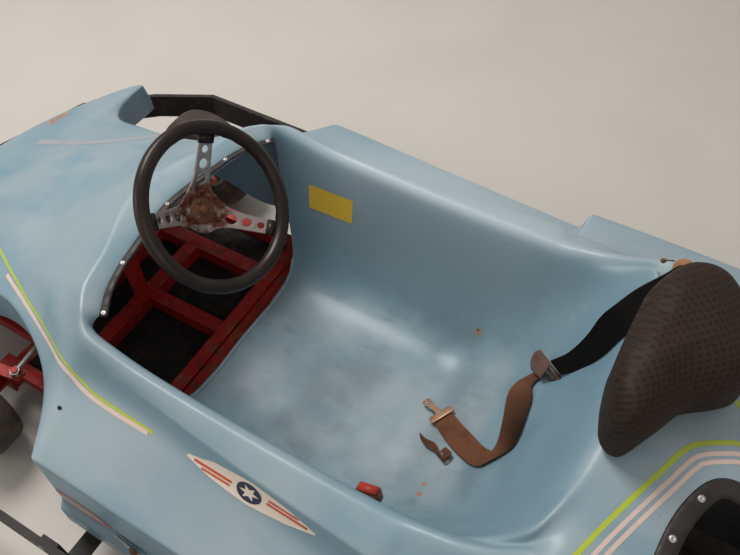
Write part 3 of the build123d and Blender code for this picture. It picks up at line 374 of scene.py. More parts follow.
# Rows: name, base, share worn through
print_rows = (
    ("label_yellow", (248, 202, 70), 0.1),
    ("stripe_lime", (176, 190, 62), 0.8),
    ("stripe_pink", (216, 192, 180), 0.6),
    # This row's film is the rule's faded ground, and also the painted reflection band along the far waist.
    ("stripe_faded", (160, 162, 168), 0.9),
    ("badge_cream", (226, 210, 194), 0.3),
    ("badge_red", (206, 84, 56), 0.3),
    ("badge_navy", (40, 46, 70), 0.3),
)
materials = {
    "body_blue": body_material(),
    "frame_red": red_paint(),
    "band_rubber": black_rubber(),
    "tyre_rubber": tyre_material(),
    "spoke_steel": spoke_material(),
    "grip": grip_material(),
    "pad_vinyl": vinyl_material(),
    "webbing": web_material(),
    "webbing_brown": cloth_material("webbing_brown", srgb(110, 70, 48), srgb(70, 44, 32)),
    "webbing_tan": cloth_material("webbing_tan", srgb(172, 120, 78), srgb(124, 80, 52)),
}
for name, base, roughness, stain, stained, metallic in metal_rows:
    materials[name] = plain_metal(name, srgb(*base), roughness, srgb(*stain), stained, metallic)
for name, base, wear in print_rows:
    materials[name] = print_material(name, srgb(*base), wear)

slot_of = {part["node"]: part["material_slot"] for part in frame["record"]["subparts"]}
for name, obj in nodes.items():
    obj.data.materials.clear()
    obj.data.materials.append(materials[slot_of[name]])


def mesh_object(name, points, faces, material, body="root", smooth=True):
    """A mesh from points in millimetres, riding on a body."""
    mesh = bpy.data.meshes.new(name)
    mesh.from_pydata([tuple(Vector(p) * MM) for p in points], [], faces)
    mesh.materials.append(materials[material])
    obj = bpy.data.objects.new(name, mesh)
    bpy.context.scene.collection.objects.link(obj)
    for polygon in mesh.polygons:
        polygon.use_smooth = smooth
    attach(obj, body)
    return obj


def outward(obj):
    """Face normals made consistent and pointing out."""
    bm = bmesh.new()
    bm.from_mesh(obj.data)
    bmesh.ops.recalc_face_normals(bm, faces=bm.faces)
    bm.to_mesh(obj.data)
    bm.free()
    return obj


def modify(obj, kind, **settings):
    """A modifier of that kind with its settings."""
    made = obj.modifiers.new(kind.title(), kind)
    for key, value in settings.items():
        setattr(made, key, value)
    return made


def applied(obj, smooth=False):
    """The object's modifiers turned into its mesh."""
    graph = bpy.context.evaluated_depsgraph_get()
    graph.update()
    mesh = bpy.data.meshes.new_from_object(obj.evaluated_get(graph))
    obj.modifiers.clear()
    obj.data = mesh
    if smooth:
        for polygon in mesh.polygons:
            polygon.use_smooth = True
    return obj


def around(count):
    """Evenly spaced angles of a full turn."""
    return [2 * math.pi * k / count for k in range(count)]


def ring_grid(rows, columns, close_rows=False, close_columns=True):
    """Quads over a grid of rows by columns."""
    faces = []
    for i in range(rows if close_rows else rows - 1):
        for j in range(columns if close_columns else columns - 1):
            a = i * columns + j
            b = i * columns + (j + 1) % columns
            c = ((i + 1) % rows) * columns + (j + 1) % columns
            d = ((i + 1) % rows) * columns + j
            faces.append((a, b, c, d))
    return faces


def turned(profile, centre, axis, steps, closed=False):
    """Points of a profile of (radius, along) pairs turned about an axis, and its faces."""
    axis = Vector(axis).normalized()
    side = axis.orthogonal().normalized()
    other = axis.cross(side)
    points = []
    for step in range(steps):
        angle = 2 * math.pi * step / steps
        out = side * math.cos(angle) + other * math.sin(angle)
        points += [Vector(centre) + out * radius + axis * along for radius, along in profile]
    return points, ring_grid(steps, len(profile), close_rows=True, close_columns=closed)


def merged(parts):
    """Several (points, faces) lists as one."""
    points, faces = [], []
    for more_points, more_faces in parts:
        start = len(points)
        points += list(more_points)
        faces += [tuple(start + i for i in face) for face in more_faces]
    return points, faces


def piece(name, parts, material, body="root"):
    """Several (points, faces) lists as one object."""
    return mesh_object(name, *merged(parts), material, body)


def box_part(centre, x_dir, y_dir, size):
    """A small box with cut corners, as (points, faces)."""
    x_dir = Vector(x_dir).normalized()
    y_dir = Vector(y_dir).normalized()
    z_dir = x_dir.cross(y_dir)
    bm = bmesh.new()
    bmesh.ops.create_cube(bm, size=1)
    bmesh.ops.scale(bm, vec=size, verts=bm.verts)
    bmesh.ops.bevel(bm, geom=bm.edges[:], offset=min(size) * 0.18, segments=2, affect="EDGES")
    points = [Vector(centre) + x_dir * v.co.x + y_dir * v.co.y + z_dir * v.co.z for v in bm.verts]
    faces = [tuple(v.index for v in face.verts) for face in bm.faces]
    bm.free()
    return points, faces


def screw_part(centre, axis, radius, height):
    """A round screw head with a small drive recess."""
    shares = ((0.22, 0.55), (0.28, 1), (0.6, 0.97), (0.9, 0.6), (1, 0), (0.98, -0.4))
    profile = [(0.01, height * 0.55)] + [(radius * wide, height * high) for wide, high in shares]
    return turned(profile, centre, axis, 16)


def hex_part(centre, axis, radius, height):
    """A hexagonal nut or bolt head with its washer."""
    profile = [(0.01, height), (radius * 0.82, height), (radius, height * 0.85), (radius, 0)]
    washer = [(radius * 0.9, 1.2), (radius * 1.35, 1.2), (radius * 1.4, 0.6), (radius * 1.4, -0.6)]
    return merged([turned(profile, centre, axis, 6), turned(washer, centre, axis, 20)])


def tube_part(path, radius, steps=10):
    """A tube along points, with its ends closed."""
    points, previous = [], None
    path = [Vector(p) for p in path]
    for index, point in enumerate(path):
        ahead = path[min(index + 1, len(path) - 1)] - path[max(index - 1, 0)]
        ahead.normalize()
        side = ahead.orthogonal() if previous is None else previous - ahead * previous.dot(ahead)
        previous = side = side.normalized()
        other = ahead.cross(side)
        r = radius[index] if isinstance(radius, (list, tuple)) else radius
        points += [point + (side * math.cos(a) + other * math.sin(a)) * r for a in around(steps)]
    ring_count = len(path)
    faces = ring_grid(ring_count, steps)
    faces.append(tuple(reversed(range(steps))))
    faces.append(tuple(range((ring_count - 1) * steps, ring_count * steps)))
    return points, faces


def smooth_path(points, count):
    """A Catmull-Rom run through points."""
    points = [Vector(p) for p in points]
    padded = [2 * points[0] - points[1]] + points + [2 * points[-1] - points[-2]]
    out = []
    for k in range(count):
        u = k / (count - 1) * (len(points) - 1)
        i = min(int(u), len(points) - 2)
        t = u - i
        a, b, c, d = padded[i:i + 4]
        bend = (2 * a - 5 * b + 4 * c - d) * t * t
        out.append(0.5 * (2 * b + (c - a) * t + bend + (3 * b - a - 3 * c + d) * t ** 3))
    return out


# Body skin: one half as a cage of stations and columns, mirrored and smoothed.
# Columns across a station: 0 centre, 1 inner middle, 2 floor edge, 3 knee, 4 wall, 5 inner lip,
# 6 and 7 crest, 8 slope, 9 ridge, 10 and 11 top, 12 and 13 crease, 14 and 15 side, 16 and 17 foot.
# Rows: x, z_floor, half_floor, z_knee, half_knee, z_rim, half_rim, z_ridge, z_top, z_crease
cockpit_rows = (
    (218, 150, 226, 232, 262, 539, 316, 508, 440, 398),
    (120, 150, 230, 234, 268, 512, 320, 492, 434, 394),
    (0, 150, 235, 238, 270, 503, 323, 483, 426, 387),
    (-140, 150, 233, 242, 271, 499, 323, 479, 416, 380),
    (-300, 152, 226, 250, 271, 499, 323, 479, 406, 372),
    (-424, 214, 206, 322, 268, 505, 322, 482, 400, 366),
    (-441, 232, 203, 338, 267, 508, 322, 478, 428, 417),
    (-510, 325, 188, 410, 262, 526, 320, 470, 432, 419),
    (-565, 440, 172, 500, 250, 553, 314, 462, 433, 420),
    (-612, 585, 160, 588, 236, 588, 300, 452, 433, 420),
)
cockpit_xs = (218, 178, 120, 50, -40, -140, -230, -300, -350, -392, -424, -441, -475,
              -510, -540, -567, -592, -612)
# How far the tub's front edge stands back from the first station, by column
tub_edge_back = (56, 56, 52, 22, -12, -16, -8)
# Rows: x, z_spine, z_valley, z_shoulder, z_fender, z_skirt
deck_rows = (
    (-645, 636, 606, 596, 421, 336),
    (-712, 641, 606, 588, 421, 326),
    (-782, 641, 597, 567, 419, 302),
    (-814, 638, 590, 555, 417, 292),
    (-850, 630, 576, 540, 415, 270),
    (-910, 610, 548, 512, 409, 250),
    (-972, 576, 506, 473, 400, 247),
    (-1010, 545, 477, 450, 392, 245),
    (-1036, 522, 457, 432, 386, 245),
)
# Ridge along the pod's inner side: x, y
ridge_line = ((218, 338), (120, 342), (80, 345), (30, 350), (-20, 355), (-114, 365),
              (-200, 372), (-321, 380), (-424, 388), (-612, 388))
crease_half = 512
column_count = 18
# The fender's step up from the pod
step_top = -441


def row_at(rows, x):
    """A table row at x, by straight interpolation."""
    for ahead, behind in zip(rows, rows[1:]):
        if behind[0] <= x <= ahead[0]:
            t = (ahead[0] - x) / (ahead[0] - behind[0])
            return [a + (b - a) * t for a, b in zip(ahead, behind)]
    return list(rows[0] if x > rows[0][0] else rows[-1])


def arch_top(x):
    """Height of the rear wheel opening's edge at x."""
    reach = 197 ** 2 - (x - rear_axle_x) ** 2
    return rear_wheel_z + math.sqrt(reach) if reach > 0 else 0


def cockpit_station(x):
    """The 18 points of a station through the cockpit."""
    row = row_at(cockpit_rows, x)
    z_floor, half_floor, z_knee, half_knee, z_rim, half_rim, z_ridge, z_top, z_crease = row[1:]
    fender = x <= step_top
    top_out = crease_half + (3 if fender else 0)
    z_low = max(305, arch_top(x)) if fender else 216
    z_foot, z_bottom, foot_out = (z_low - 4, z_low - 8, 4) if fender else (199, 150, 18)
    ridge_y = row_at(ridge_line, x)[1]
    hump = 10 * max(0, min(1, (x + 20) / 120))
    return [
        (x, 0, z_floor + hump), (x, half_floor * 0.5, z_floor - 1 - hump * 0.3),
        (x, half_floor * 0.94, z_floor + 6), (x, half_knee, z_knee),
        (x, half_rim - 30, z_rim - 92 + 0.35 * (z_knee - 240)), (x, half_rim - 21, z_rim - 18),
        (x, half_rim - 11, z_rim - 4), (x, half_rim + 3, z_rim + 2),
        (x, (half_rim + 8 + ridge_y) / 2, z_rim * 0.6 + z_ridge * 0.4 - (0 if not fender else 14)),
        (x, ridge_y, z_ridge), (x, ridge_y + 16, z_ridge + (z_top - z_ridge) * 0.62),
        (x, ridge_y + 44, z_top), (x, top_out - 12, z_crease + 5), (x, top_out, z_crease - 3),
        (x, top_out + 2, (z_crease + z_low) / 2),
        (x, top_out + 3, z_low), (x, top_out + foot_out, z_foot), (x, top_out + foot_out + 1, z_bottom),
    ]


def deck_station(row):
    """The 18 points of a station through the rear deck."""
    x, z_spine, z_valley, z_shoulder, z_fender, z_skirt = row
    z_low = max(z_skirt, arch_top(x))
    return [
        (x, 0, z_spine), (x, 40, z_spine), (x, 72, z_spine - 3), (x, 96, (z_spine + z_valley) / 2 + 3),
        (x, 165, z_valley + 2), (x, 250, z_valley * 0.55 + z_shoulder * 0.45), (x, 306, z_shoulder + 5),
        (x, 328, z_shoulder - 2), (x, 354, z_shoulder * 0.55 + z_fender * 0.45), (x, 384, z_fender + 24),
        (x, 410, z_fender + 12), (x, 450, z_fender + 7), (x, 503, z_fender + 3), (x, 515, z_fender - 4),
        (x, 517, (z_fender + z_low) / 2), (x, 518, z_low), (x, 519, z_low - 4), (x, 520, z_low - 8),
    ]


# Stations of the nose ahead of the hood
# Rows: centre_x, z_centre, edge_x, edge_y, z_edge, z_skirt, skirt_out
nose_rows = (
    (530, 447, 503, 283, 400, 290, 2),
    (590, 428, 568, 275, 392, 290, 2),
    (642, 410, 626, 287, 373, 286, 2),
    (690, 392, 680, 304, 350, 280, 2),
    (735, 376, 728, 314, 330, 270, 2),
    (772, 362, 768, 324, 314, 256, 2),
    (802, 351, 800, 334, 303, 240, 3),
    (826, 342, 824, 354, 300, 224, 4),
    (846, 335, 834, 390, 300, 212, 6),
    (864, 328, 839, 436, 300, 206, 10),
    (884, 320, 844, 482, 299, 203, 15),
    (910, 312, 860, 482, 297, 202, 16),
    (950, 301, 912, 418, 288, 188, 16),
    (990, 288, 968, 340, 275, 174, 15),
    (1024, 277, 1018, 256, 262, 162, 10),
    (1050, 266, 1048, 186, 253, 152, 5),
    (1063, 259, 1062, 116, 251, 149, 3),
)
tip_row = 10
# Stations beside the hood: foot x, y, z; edge x, y, z; skirt z
foot_rows = (
    (262, 326, 500, 249, 457, 402, 152),
    (312, 308, 486, 299, 391, 402, 158),
    (366, 276, 477, 364, 344, 402, 188),
    (416, 234, 468, 430, 311, 402, 284),
)
front_foot = ((430, 222), (443, 196), (454, 168), (463, 140), (470, 112), (476, 84), (480, 56), (482, 28),
              (483, 0))
# Hood along its half, side to centre: crest x, y; lip x, y
hood_rows = (
    (246, 287, 222, 262),
    (258, 273, 230, 247),
    (268, 259, 238, 230),
    (277, 243, 245, 212),
    (284, 222, 250, 194),
    (290, 198, 255, 172),
    (297, 172, 260, 148),
    (308, 144, 265, 122),
    (322, 114, 270, 96),
    (335, 86, 275, 72),
    (346, 57, 279, 48),
    (353, 28, 282, 24),
    (355, 0, 283, 0),
)
crest_z, lip_z = 560, 543


class Cage:
    """Points by key, quads between keys, and the edges that stay sharp."""

    def __init__(self):
        self.points, self.faces, self.index, self.creases = [], [], {}, {}

    def put(self, key, point):
        self.index[key] = len(self.points)
        self.points.append(Vector(point))
        return key

    def at(self, key):
        return self.points[self.index[key]]

    def quad(self, *keys):
        ids = tuple(self.index[key] for key in keys)
        if len(set(ids)) == 4:
            self.faces.append(ids)

    def sharpen(self, keys, weight):
        """Keep the run of edges between keys crisp."""
        for first, second in zip(keys, keys[1:]):
            self.creases[frozenset((self.index[first], self.index[second]))] = weight


def end_key(grid, last, wall, j, k):
    """Key of a point on a closed end: its top row, its wall, or the side columns that close it."""
    if j == 13:
        return (grid, last, 13 + k)
    return (grid, last, j) if k == 0 else (wall, j, k)


def build_cockpit(cage):
    """The tub, pods, rear deck and the closed rear end."""
    stations = [cockpit_station(x) for x in cockpit_xs] + [deck_station(row) for row in deck_rows]
    opening_first = len(cockpit_xs) + 2
    for i, station in enumerate(stations):
        for j, (x, y, z) in enumerate(station):
            back = tub_edge_back[j] if i == 0 and j < len(tub_edge_back) else 0
            if (i, j) == (opening_first, 3):
                x, y, z = x - 20, y + 18, z - 8
            cage.put(("c", i, j), (x - back, y, z))
    for i in range(len(stations) - 1):
        for j in range(column_count - 1):
            if opening_first <= i < opening_first + 4 and 3 <= j <= 5:
                continue
            cage.quad(("c", i, j), ("c", i, j + 1), ("c", i + 1, j + 1), ("c", i + 1, j))
    last = len(stations) - 1
    back = deck_rows[-1][0] - 4
    low = stations[-1][17][2]
    for j in range(13):
        _, y, z = stations[-1][j]
        for k, share in enumerate((0.06, 0.4, 0.75, 1), start=1):
            cage.put(("b", j, k), (back, y, z + (low - z) * share))
    for j in range(13):
        for k in range(4):
            upper = end_key("c", last, "b", j, k)
            under = end_key("c", last, "b", j + 1, k)
            cage.quad(upper, under, end_key("c", last, "b", j + 1, k + 1), ("b", j, k + 1))
    cage.sharpen([("c", i, 9) for i in range(11)], 1)
    cage.sharpen([("c", i, 13) for i in range(last + 1)], 0.8)
    cage.sharpen([("c", i, 7) for i in range(10)], 0.3)
    cage.sharpen([("c", i, 15) for i in range(11)], 0.7)
    cage.sharpen([("c", i, 16) for i in range(11)], 0.7)
    cage.sharpen([("c", 0, j) for j in range(13, 18)], 0.7)
    for i in (10, 11):
        cage.sharpen([("c", i, j) for j in range(9, 16)], 0.75)
    cage.sharpen([("c", last, j) for j in range(14)], 0.6)


def build_nose(cage):
    """The stretch beside the hood, then the waist and the wing."""
    side_columns = range(9, column_count)
    shares = {9: 0, 10: 0.36, 11: 0.7, 12: 0.93, 13: 1}
    previous = {j: ("c", 0, j) for j in side_columns}
    for k, (foot_x, foot_y, foot_z, edge_x, edge_y, edge_z, skirt_z) in enumerate(foot_rows, start=1):
        current = {}
        for j in side_columns:
            t = shares[j] if j <= 13 else (j - 13) / 4
            if j <= 13:
                z = foot_z + (edge_z - foot_z) * t ** 0.8 - (4 if j == 13 else 0)
                place = (foot_x + (edge_x - foot_x) * t, foot_y + (edge_y - foot_y) * t, z)
            else:
                place = (edge_x + 1, edge_y + 3 * t, edge_z - 4 + (skirt_z - edge_z + 4) * t)
            current[j] = cage.put(("n", k, j), place)
        for j in range(9, column_count - 1):
            cage.quad(previous[j], current[j], current[j + 1], previous[j + 1])
        previous = current
    corner = len(foot_rows)
    full = dict(previous)
    for count, (x, y) in enumerate(front_foot):
        full[8 - count] = cage.put(("f", 8 - count), (x, y, 469 - 3 * (y / 242) ** 2))
    corner_y = {j: cage.at(full[j]).y for j in range(14)}
    for k, row in enumerate(nose_rows, start=corner + 1):
        centre_x, z_centre, edge_x, edge_y, z_edge, z_skirt, skirt_out = row
        current = {}
        for j in range(column_count):
            t = corner_y[j] / corner_y[13] if j <= 13 else (j - 13) / 4
            if j <= 13:
                z = z_edge + (z_centre - z_edge) * (1 - t ** 2.6) - (3 if j == 13 else 0)
                place = (centre_x + (edge_x - centre_x) * t * t, edge_y * t, z)
            else:
                slant = min(1, t * 1.5)
                ahead = 2 if edge_x > 900 else 0
                z = z_edge - 3 + (z_skirt - z_edge + 3) * t
                place = (edge_x + ahead * slant, edge_y + skirt_out * slant, z)
            current[j] = cage.put(("n", k, j), place)
        for j in range(column_count - 1):
            cage.quad(full[j], current[j], current[j + 1], full[j + 1])
        full = current
    last = corner + len(nose_rows)
    for j in range(13):
        top = cage.at(("n", last, j))
        for k, ahead in enumerate((3, 5, 5, 5), start=1):
            side_z = cage.at(("n", last, 13 + k)).z
            cage.put(("t", j, k), (top.x + ahead, top.y, top.z + (side_z - top.z) * (k / 4)))
    for j in range(13):
        for k in range(4):
            upper = end_key("n", last, "t", j, k)
            under = end_key("n", last, "t", j + 1, k)
            cage.quad(upper, ("t", j, k + 1), end_key("n", last, "t", j + 1, k + 1), under)
    cage.sharpen([("c", 0, 13)] + [("n", k, 13) for k in range(1, last + 1)], 0.75)
    tip = corner + 1 + tip_row
    cage.sharpen([("n", tip, j) for j in range(13, 18)], 0.7)


def build_hood(cage):
    """Spokes from the cockpit's first station round to the centre, rings from the foot to the lip."""
    corner = len(foot_rows)
    feet = [("c", 0, 9)] + [("n", k, 9) for k in range(1, corner + 1)]
    feet += [("f", j) for j in range(8, -1, -1)]
    previous = [("c", 0, j) for j in (9, 8, 7, 6, 5)]
    rings = [[key] for key in previous]
    for spoke, (crest_x, crest_y, lip_x, lip_y) in enumerate(hood_rows, start=1):
        foot = cage.at(feet[spoke])
        crest = Vector((crest_x, crest_y, 548 + (crest_z - 548) * min(1, spoke / 4)))
        lip = Vector((lip_x, lip_y, 530 + (lip_z - 530) * min(1, spoke / 4)))
        ring = [feet[spoke]]
        for r, (share, rise) in enumerate(((0.42, 0.36), (0.78, 0.76), (1, 1)), start=1):
            place = foot.lerp(crest, share)
            place.z = foot.z + (crest.z - foot.z) * rise
            ring.append(cage.put(("h", spoke, r), place))
        ring.append(cage.put(("h", spoke, 4), lip))
        for r in range(4):
            cage.quad(previous[r], previous[r + 1], ring[r + 1], ring[r])
            rings[r + 1].append(ring[r + 1])
        previous = ring
    cage.sharpen(rings[3], 0.6)
    for spoke, key in enumerate(rings[4]):
        x, y, z = cage.at(key)
        cage.put(("u", spoke), (x + 4, y * 1.01 if spoke else y + 3, z - 16))
    for spoke in range(1, len(rings[4]) - 1):
        cage.quad(rings[4][spoke], ("u", spoke), ("u", spoke + 1), rings[4][spoke + 1])


cage = Cage()
build_cockpit(cage)
build_nose(cage)
build_hood(cage)
skin = mesh_object("body_skin", cage.points, cage.faces, "body_blue")
crease_layer = skin.data.attributes.new("crease_edge", "FLOAT", "EDGE")
for edge in skin.data.edges:
    crease_layer.data[edge.index].value = cage.creases.get(frozenset(edge.vertices), 0)
modify(skin, "MIRROR", use_axis=(False, True, False), merge_threshold=0.0005)
modify(skin, "SUBSURF", levels=3, render_levels=3)
applied(skin)
outward(skin)
skin_tree = BVHTree.FromObject(skin, bpy.context.evaluated_depsgraph_get())
open_skin = skin.data.copy()
modify(skin, "SOLIDIFY", thickness=0.0045, offset=-1)
applied(skin, smooth=True)
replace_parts(skin, "nose_wing", "nose_cowl", "cockpit_hood", "tub", "seat_back", "side_pods", "rear_deck",
            "rear_fenders")


# Things laid on the skin
def on_skin(point, lift=0.35):
    """The nearest place on the body skin in millimetres, lifted along its normal, and that normal."""
    hit, normal, _, _ = skin_tree.find_nearest(Vector(point) * MM)
    return hit / MM + normal * lift, normal


def ribbon(name, points, width, material, count=60, lift=0.35, side=0):
    """A film of that width on the skin along points, shifted to one side of them by side."""
    path = smooth_path(points, count)
    for _ in range(3):
        path = path[:1] + [(a + b + c) / 3 for a, b, c in zip(path, path[1:], path[2:])] + path[-1:]
    spine = [on_skin(p, 0) for p in path]
    rows = []
    for k, (place, normal) in enumerate(spine):
        along = spine[min(k + 1, count - 1)][0] - spine[max(k - 1, 0)][0]
        across = normal.cross(along).normalized()
        for share in (-0.5, -0.25, 0, 0.25, 0.5):
            rows.append(on_skin(place + across * (side + width * share), lift)[0])
    return mesh_object(name, rows, ring_grid(count, 5, close_columns=False), material)


def flat_plate(outline, holes=(), fill=0):
    """Triangles of a plane outline with round holes (x, y, radius), as 2D points and faces."""
    points = [Vector(p) for p in outline]
    edges = [(i, (i + 1) % len(outline)) for i in range(len(outline))]
    for x, y, radius in holes:
        start = len(points)
        points += [Vector((x + radius * math.cos(a), y + radius * math.sin(a))) for a in around(24)]
        edges += [(start + k, start + (k + 1) % 24) for k in range(24)]
    if fill:
        low_x, low_y = min(p[0] for p in outline), min(p[1] for p in outline)
        high_x, high_y = max(p[0] for p in outline), max(p[1] for p in outline)
        for i in range(1, int((high_x - low_x) / fill)):
            for j in range(1, int((high_y - low_y) / fill)):
                points.append(Vector((low_x + i * fill, low_y + j * fill)))
    made = delaunay_2d_cdt(points, edges, [list(range(len(outline)))], 1, 0.001)
    faces = []
    for face in made[2]:
        middle = sum((made[0][i] for i in face), Vector((0, 0))) / len(face)
        if all((middle - Vector((x, y))).length > radius * 0.97 for x, y, radius in holes):
            faces.append(tuple(face))
    used = sorted({i for face in faces for i in face})
    renamed = {old: new for new, old in enumerate(used)}
    return [made[0][i] for i in used], [tuple(renamed[i] for i in face) for face in faces]


def sticker(name, outline, place, material, lift=0.4, fill=6):
    """A flat outline laid on the skin, through place(u, v) in millimetres."""
    points, faces = flat_plate(outline, fill=fill)
    return mesh_object(name, [on_skin(place(*p), lift)[0] for p in points], faces, material)


# Steering wheel
steering_slant = (38, 148, 298)
ring_radius, grip_radius, dish = 151, 14, 56
spoke_root_radius, hub_outer = 38, 44
# Hole distance from the hub centre, hole radius
spoke_holes = ((60, 10.5), (88, 8.8), (113, 6.8))


def wheel_out(clock):
    """Direction in the wheel's plane, clockwise from its top as the driver sees it."""
    return Vector((0, -math.sin(clock), 0)) + wheel_up * math.cos(clock)


def wheel_point(u, v, toward=0):
    """A place on the dished plate; u to the driver's right, v up, toward the driver."""
    radius = math.hypot(u, v)
    share = max(0, min(1, (ring_radius - radius) / (ring_radius - spoke_root_radius)))
    along = dish * (share if share < 1 else 1)
    return wheel_centre + Vector((0, -u, 0)) + wheel_up * v + column_axis * (along - toward)


def steering_grip():
    """Rim with fine lengthwise flutes toward the driver and finger scallops behind."""
    rows, columns = 150, 36
    points = []
    for i in range(rows):
        clock = 2 * math.pi * i / rows
        out = wheel_out(clock)
        for j in range(columns):
            a = 2 * math.pi * j / columns
            flute = 0.45 * (0.5 - 0.5 * math.cos(9 * a)) * max(0, -math.sin(a)) ** 0.5
            scallop = 1.5 * max(0, math.cos(a - 2.2)) ** 2 * (0.5 + 0.5 * math.cos(30 * clock))
            r = grip_radius - flute - scallop
            outward_mm = ring_radius + r * math.cos(a)
            points.append(wheel_centre + out * outward_mm + column_axis * (r * math.sin(a)))
    boots = []
    for clock_deg in steering_slant:
        clock = math.radians(clock_deg)
        out = wheel_out(clock)
        place = wheel_point(132 * math.sin(clock), 132 * math.cos(clock), 2)
        spoke = (wheel_centre + out * ring_radius) - (hub_centre + out * spoke_root_radius)
        boots.append(box_part(place, spoke, out.cross(column_axis), (20, 32, 9)))
    rim = (points, ring_grid(rows, columns, close_rows=True))
    return piece("steering_grip", [rim] + boots, "grip", "steering")


def spider_outline():
    """The spider's outline in its own plane."""
    outline = []
    clocks = [math.radians(c) for c in steering_slant]
    for k, clock in enumerate(clocks):
        out = Vector((math.sin(clock), math.cos(clock)))
        across = Vector((math.cos(clock), -math.sin(clock)))
        widths = ((64, 17.5), (80, 16.5), (100, 15.2), (120, 14.2), (136, 14), (147, 15.5))
        outline += [out * r - across * w for r, w in widths]
        outline += [out * r + across * w for r, w in reversed(widths)]
        ahead = clocks[(k + 1) % 3] + (2 * math.pi if k == 2 else 0)
        start, end = clock + math.radians(40), ahead - math.radians(40)
        arc = [Vector((math.sin(a), math.cos(a))) * hub_outer
               for a in (start + (end - start) * n / 6 for n in range(7))]
        next_out = Vector((math.sin(ahead), math.cos(ahead)))
        next_across = Vector((math.cos(ahead), -math.sin(ahead)))
        for first, pull, last in ((outline[-1], out * 47 + across * 19, arc[0]),
                                  (arc[-1], next_out * 47 - next_across * 19,
                                   next_out * 64 - next_across * 17.5)):
            for t in (0.25, 0.5, 0.75):
                outline.append(first * (1 - t) ** 2 + pull * 2 * t * (1 - t) + last * t * t)
            outline += arc
    return outline


def steering_plate():
    """Three-spoke dished plate with its drilled holes."""
    holes = []
    for clock_deg in steering_slant:
        clock = math.radians(clock_deg)
        holes += [(math.sin(clock) * d, math.cos(clock) * d, radius) for d, radius in spoke_holes]
    points, faces = flat_plate(spider_outline(), holes, fill=9)
    places = [wheel_point(p[0], p[1], 2) for p in points]
    plate = mesh_object("steering_plate", places, faces, "spoke_steel", "steering")
    modify(plate, "SOLIDIFY", thickness=0.0036, offset=0)
    modify(plate, "BEVEL", width=0.0005, segments=2, limit_method="ANGLE", angle_limit=0.9)
    applied(plate)
    return plate


grip = steering_grip()
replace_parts(grip, "steering_rim")
plate = steering_plate()
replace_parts(plate, "steering_spider")
hub_parts = [turned([(0.01, 6.4), (24.5, 6.4), (26, 5.4), (26, 3.4)], hub_centre, -column_axis, 40),
             turned([(22, 0), (22, -30), (14, -33), (9.6, -33)], hub_centre, -column_axis, 32),
             hex_part(hub_centre - column_axis * 6.2, -column_axis, 9.5, 8)]
for turn_deg in (15, 135, 255):
    angle = math.radians(turn_deg)
    place = hub_centre + wheel_out(angle) * 17.5 - column_axis * 6.2
    hub_parts.append(turned([(0.01, 3.2), (3.2, 3), (4.5, 1.6), (4.6, 0)], place, -column_axis, 16))
piece("steering_hub", hub_parts, "hub_rust", "steering")

# Edging strip inside the hood's lip, with its screws
strip_line = [(217, 269), (240, 225), (256, 176), (264, 133), (272, 92), (279, 48), (283, 0)]
strip_line += [(x, -y) for x, y in reversed(strip_line[:-1])]
strip_spine = smooth_path([(x, y, 544 - 14 * (abs(y) / 269) ** 6) for x, y in strip_line], 90)
# Across the strip: ahead, up
strip_section = ((8, 0.8), (5, 2.2), (-4, 2.2), (-8, 0.2), (-8.4, -3.2), (-5, -4.6), (6, -3), (8.4, -1.2))
strip_points = []
for k, place in enumerate(strip_spine):
    along = (strip_spine[min(k + 1, 89)] - strip_spine[max(k - 1, 0)]).normalized()
    out = along.cross(Vector((0, 0, 1))).normalized()
    out = out if out.x > 0 else -out
    strip_points += [place + out * ahead + Vector((0, 0, up - ahead * 0.1)) for ahead, up in strip_section]
strip_faces = ring_grid(90, 8) + [tuple(reversed(range(8))), tuple(range(89 * 8, 90 * 8))]
strip = mesh_object("dash_strip", strip_points, strip_faces, "blower_black")
modify(strip, "SUBSURF", levels=1, render_levels=1)
applied(outward(strip))
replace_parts(strip, "dash_trim")
screw_spots = [strip_spine[int(share * 89)] + Vector((-1, 0, 2.4)) for share in (0.02, 0.2, 0.5, 0.8, 0.98)]
piece("dash_screws", [screw_part(spot, (-0.25, 0, 1), 5.2, 2.2) for spot in screw_spots], "screw")


# Wheels
def slick_profile(radius, width, seat):
    """Closed section of a slick tyre."""
    half = width / 2
    side = ((seat, -half * 0.68), (seat + 6, -half * 0.72), (seat + 11, -half * 0.80),
            (seat + 20, -half * 0.95), (seat + 24, -half * 0.985), (seat + 26, -half * 0.97),
            (seat + 28, -half * 0.99), (seat + 40, -half),
            (radius - 27, -half * 0.995), (radius - 17, -half + 3.6), (radius - 9, -half + 8.2),
            (radius - 4, -half + 14), (radius - 1.6, -half + 21), (radius - 0.7, -half + 28))
    far_side = [(r, -y) for r, y in reversed(side)]
    return list(side) + [(radius, 0)] + far_side + [(seat - 1, half * 0.6), (seat - 1, -half * 0.6)]


def rim_profile(seat, half, bore):
    """Closed section of a spun rim with rolled lips and a dished centre."""
    side = ((bore, -0.8 * half), (22, -0.8 * half), (24, -0.76 * half), (25, -8), (30, -4), (40, -3),
            (50, -4), (57, -8), (60, -14), (60, -half + 5), (61, -half), (67, -half - 3), (70, -half - 4),
            (72.6, -half - 3.2),
            (72.8, -half - 1), (70, 0.6 - half), (66, 3 - half), (seat - 0.4, 9 - half))
    return list(side) + [(r, -y) for r, y in reversed(side)]


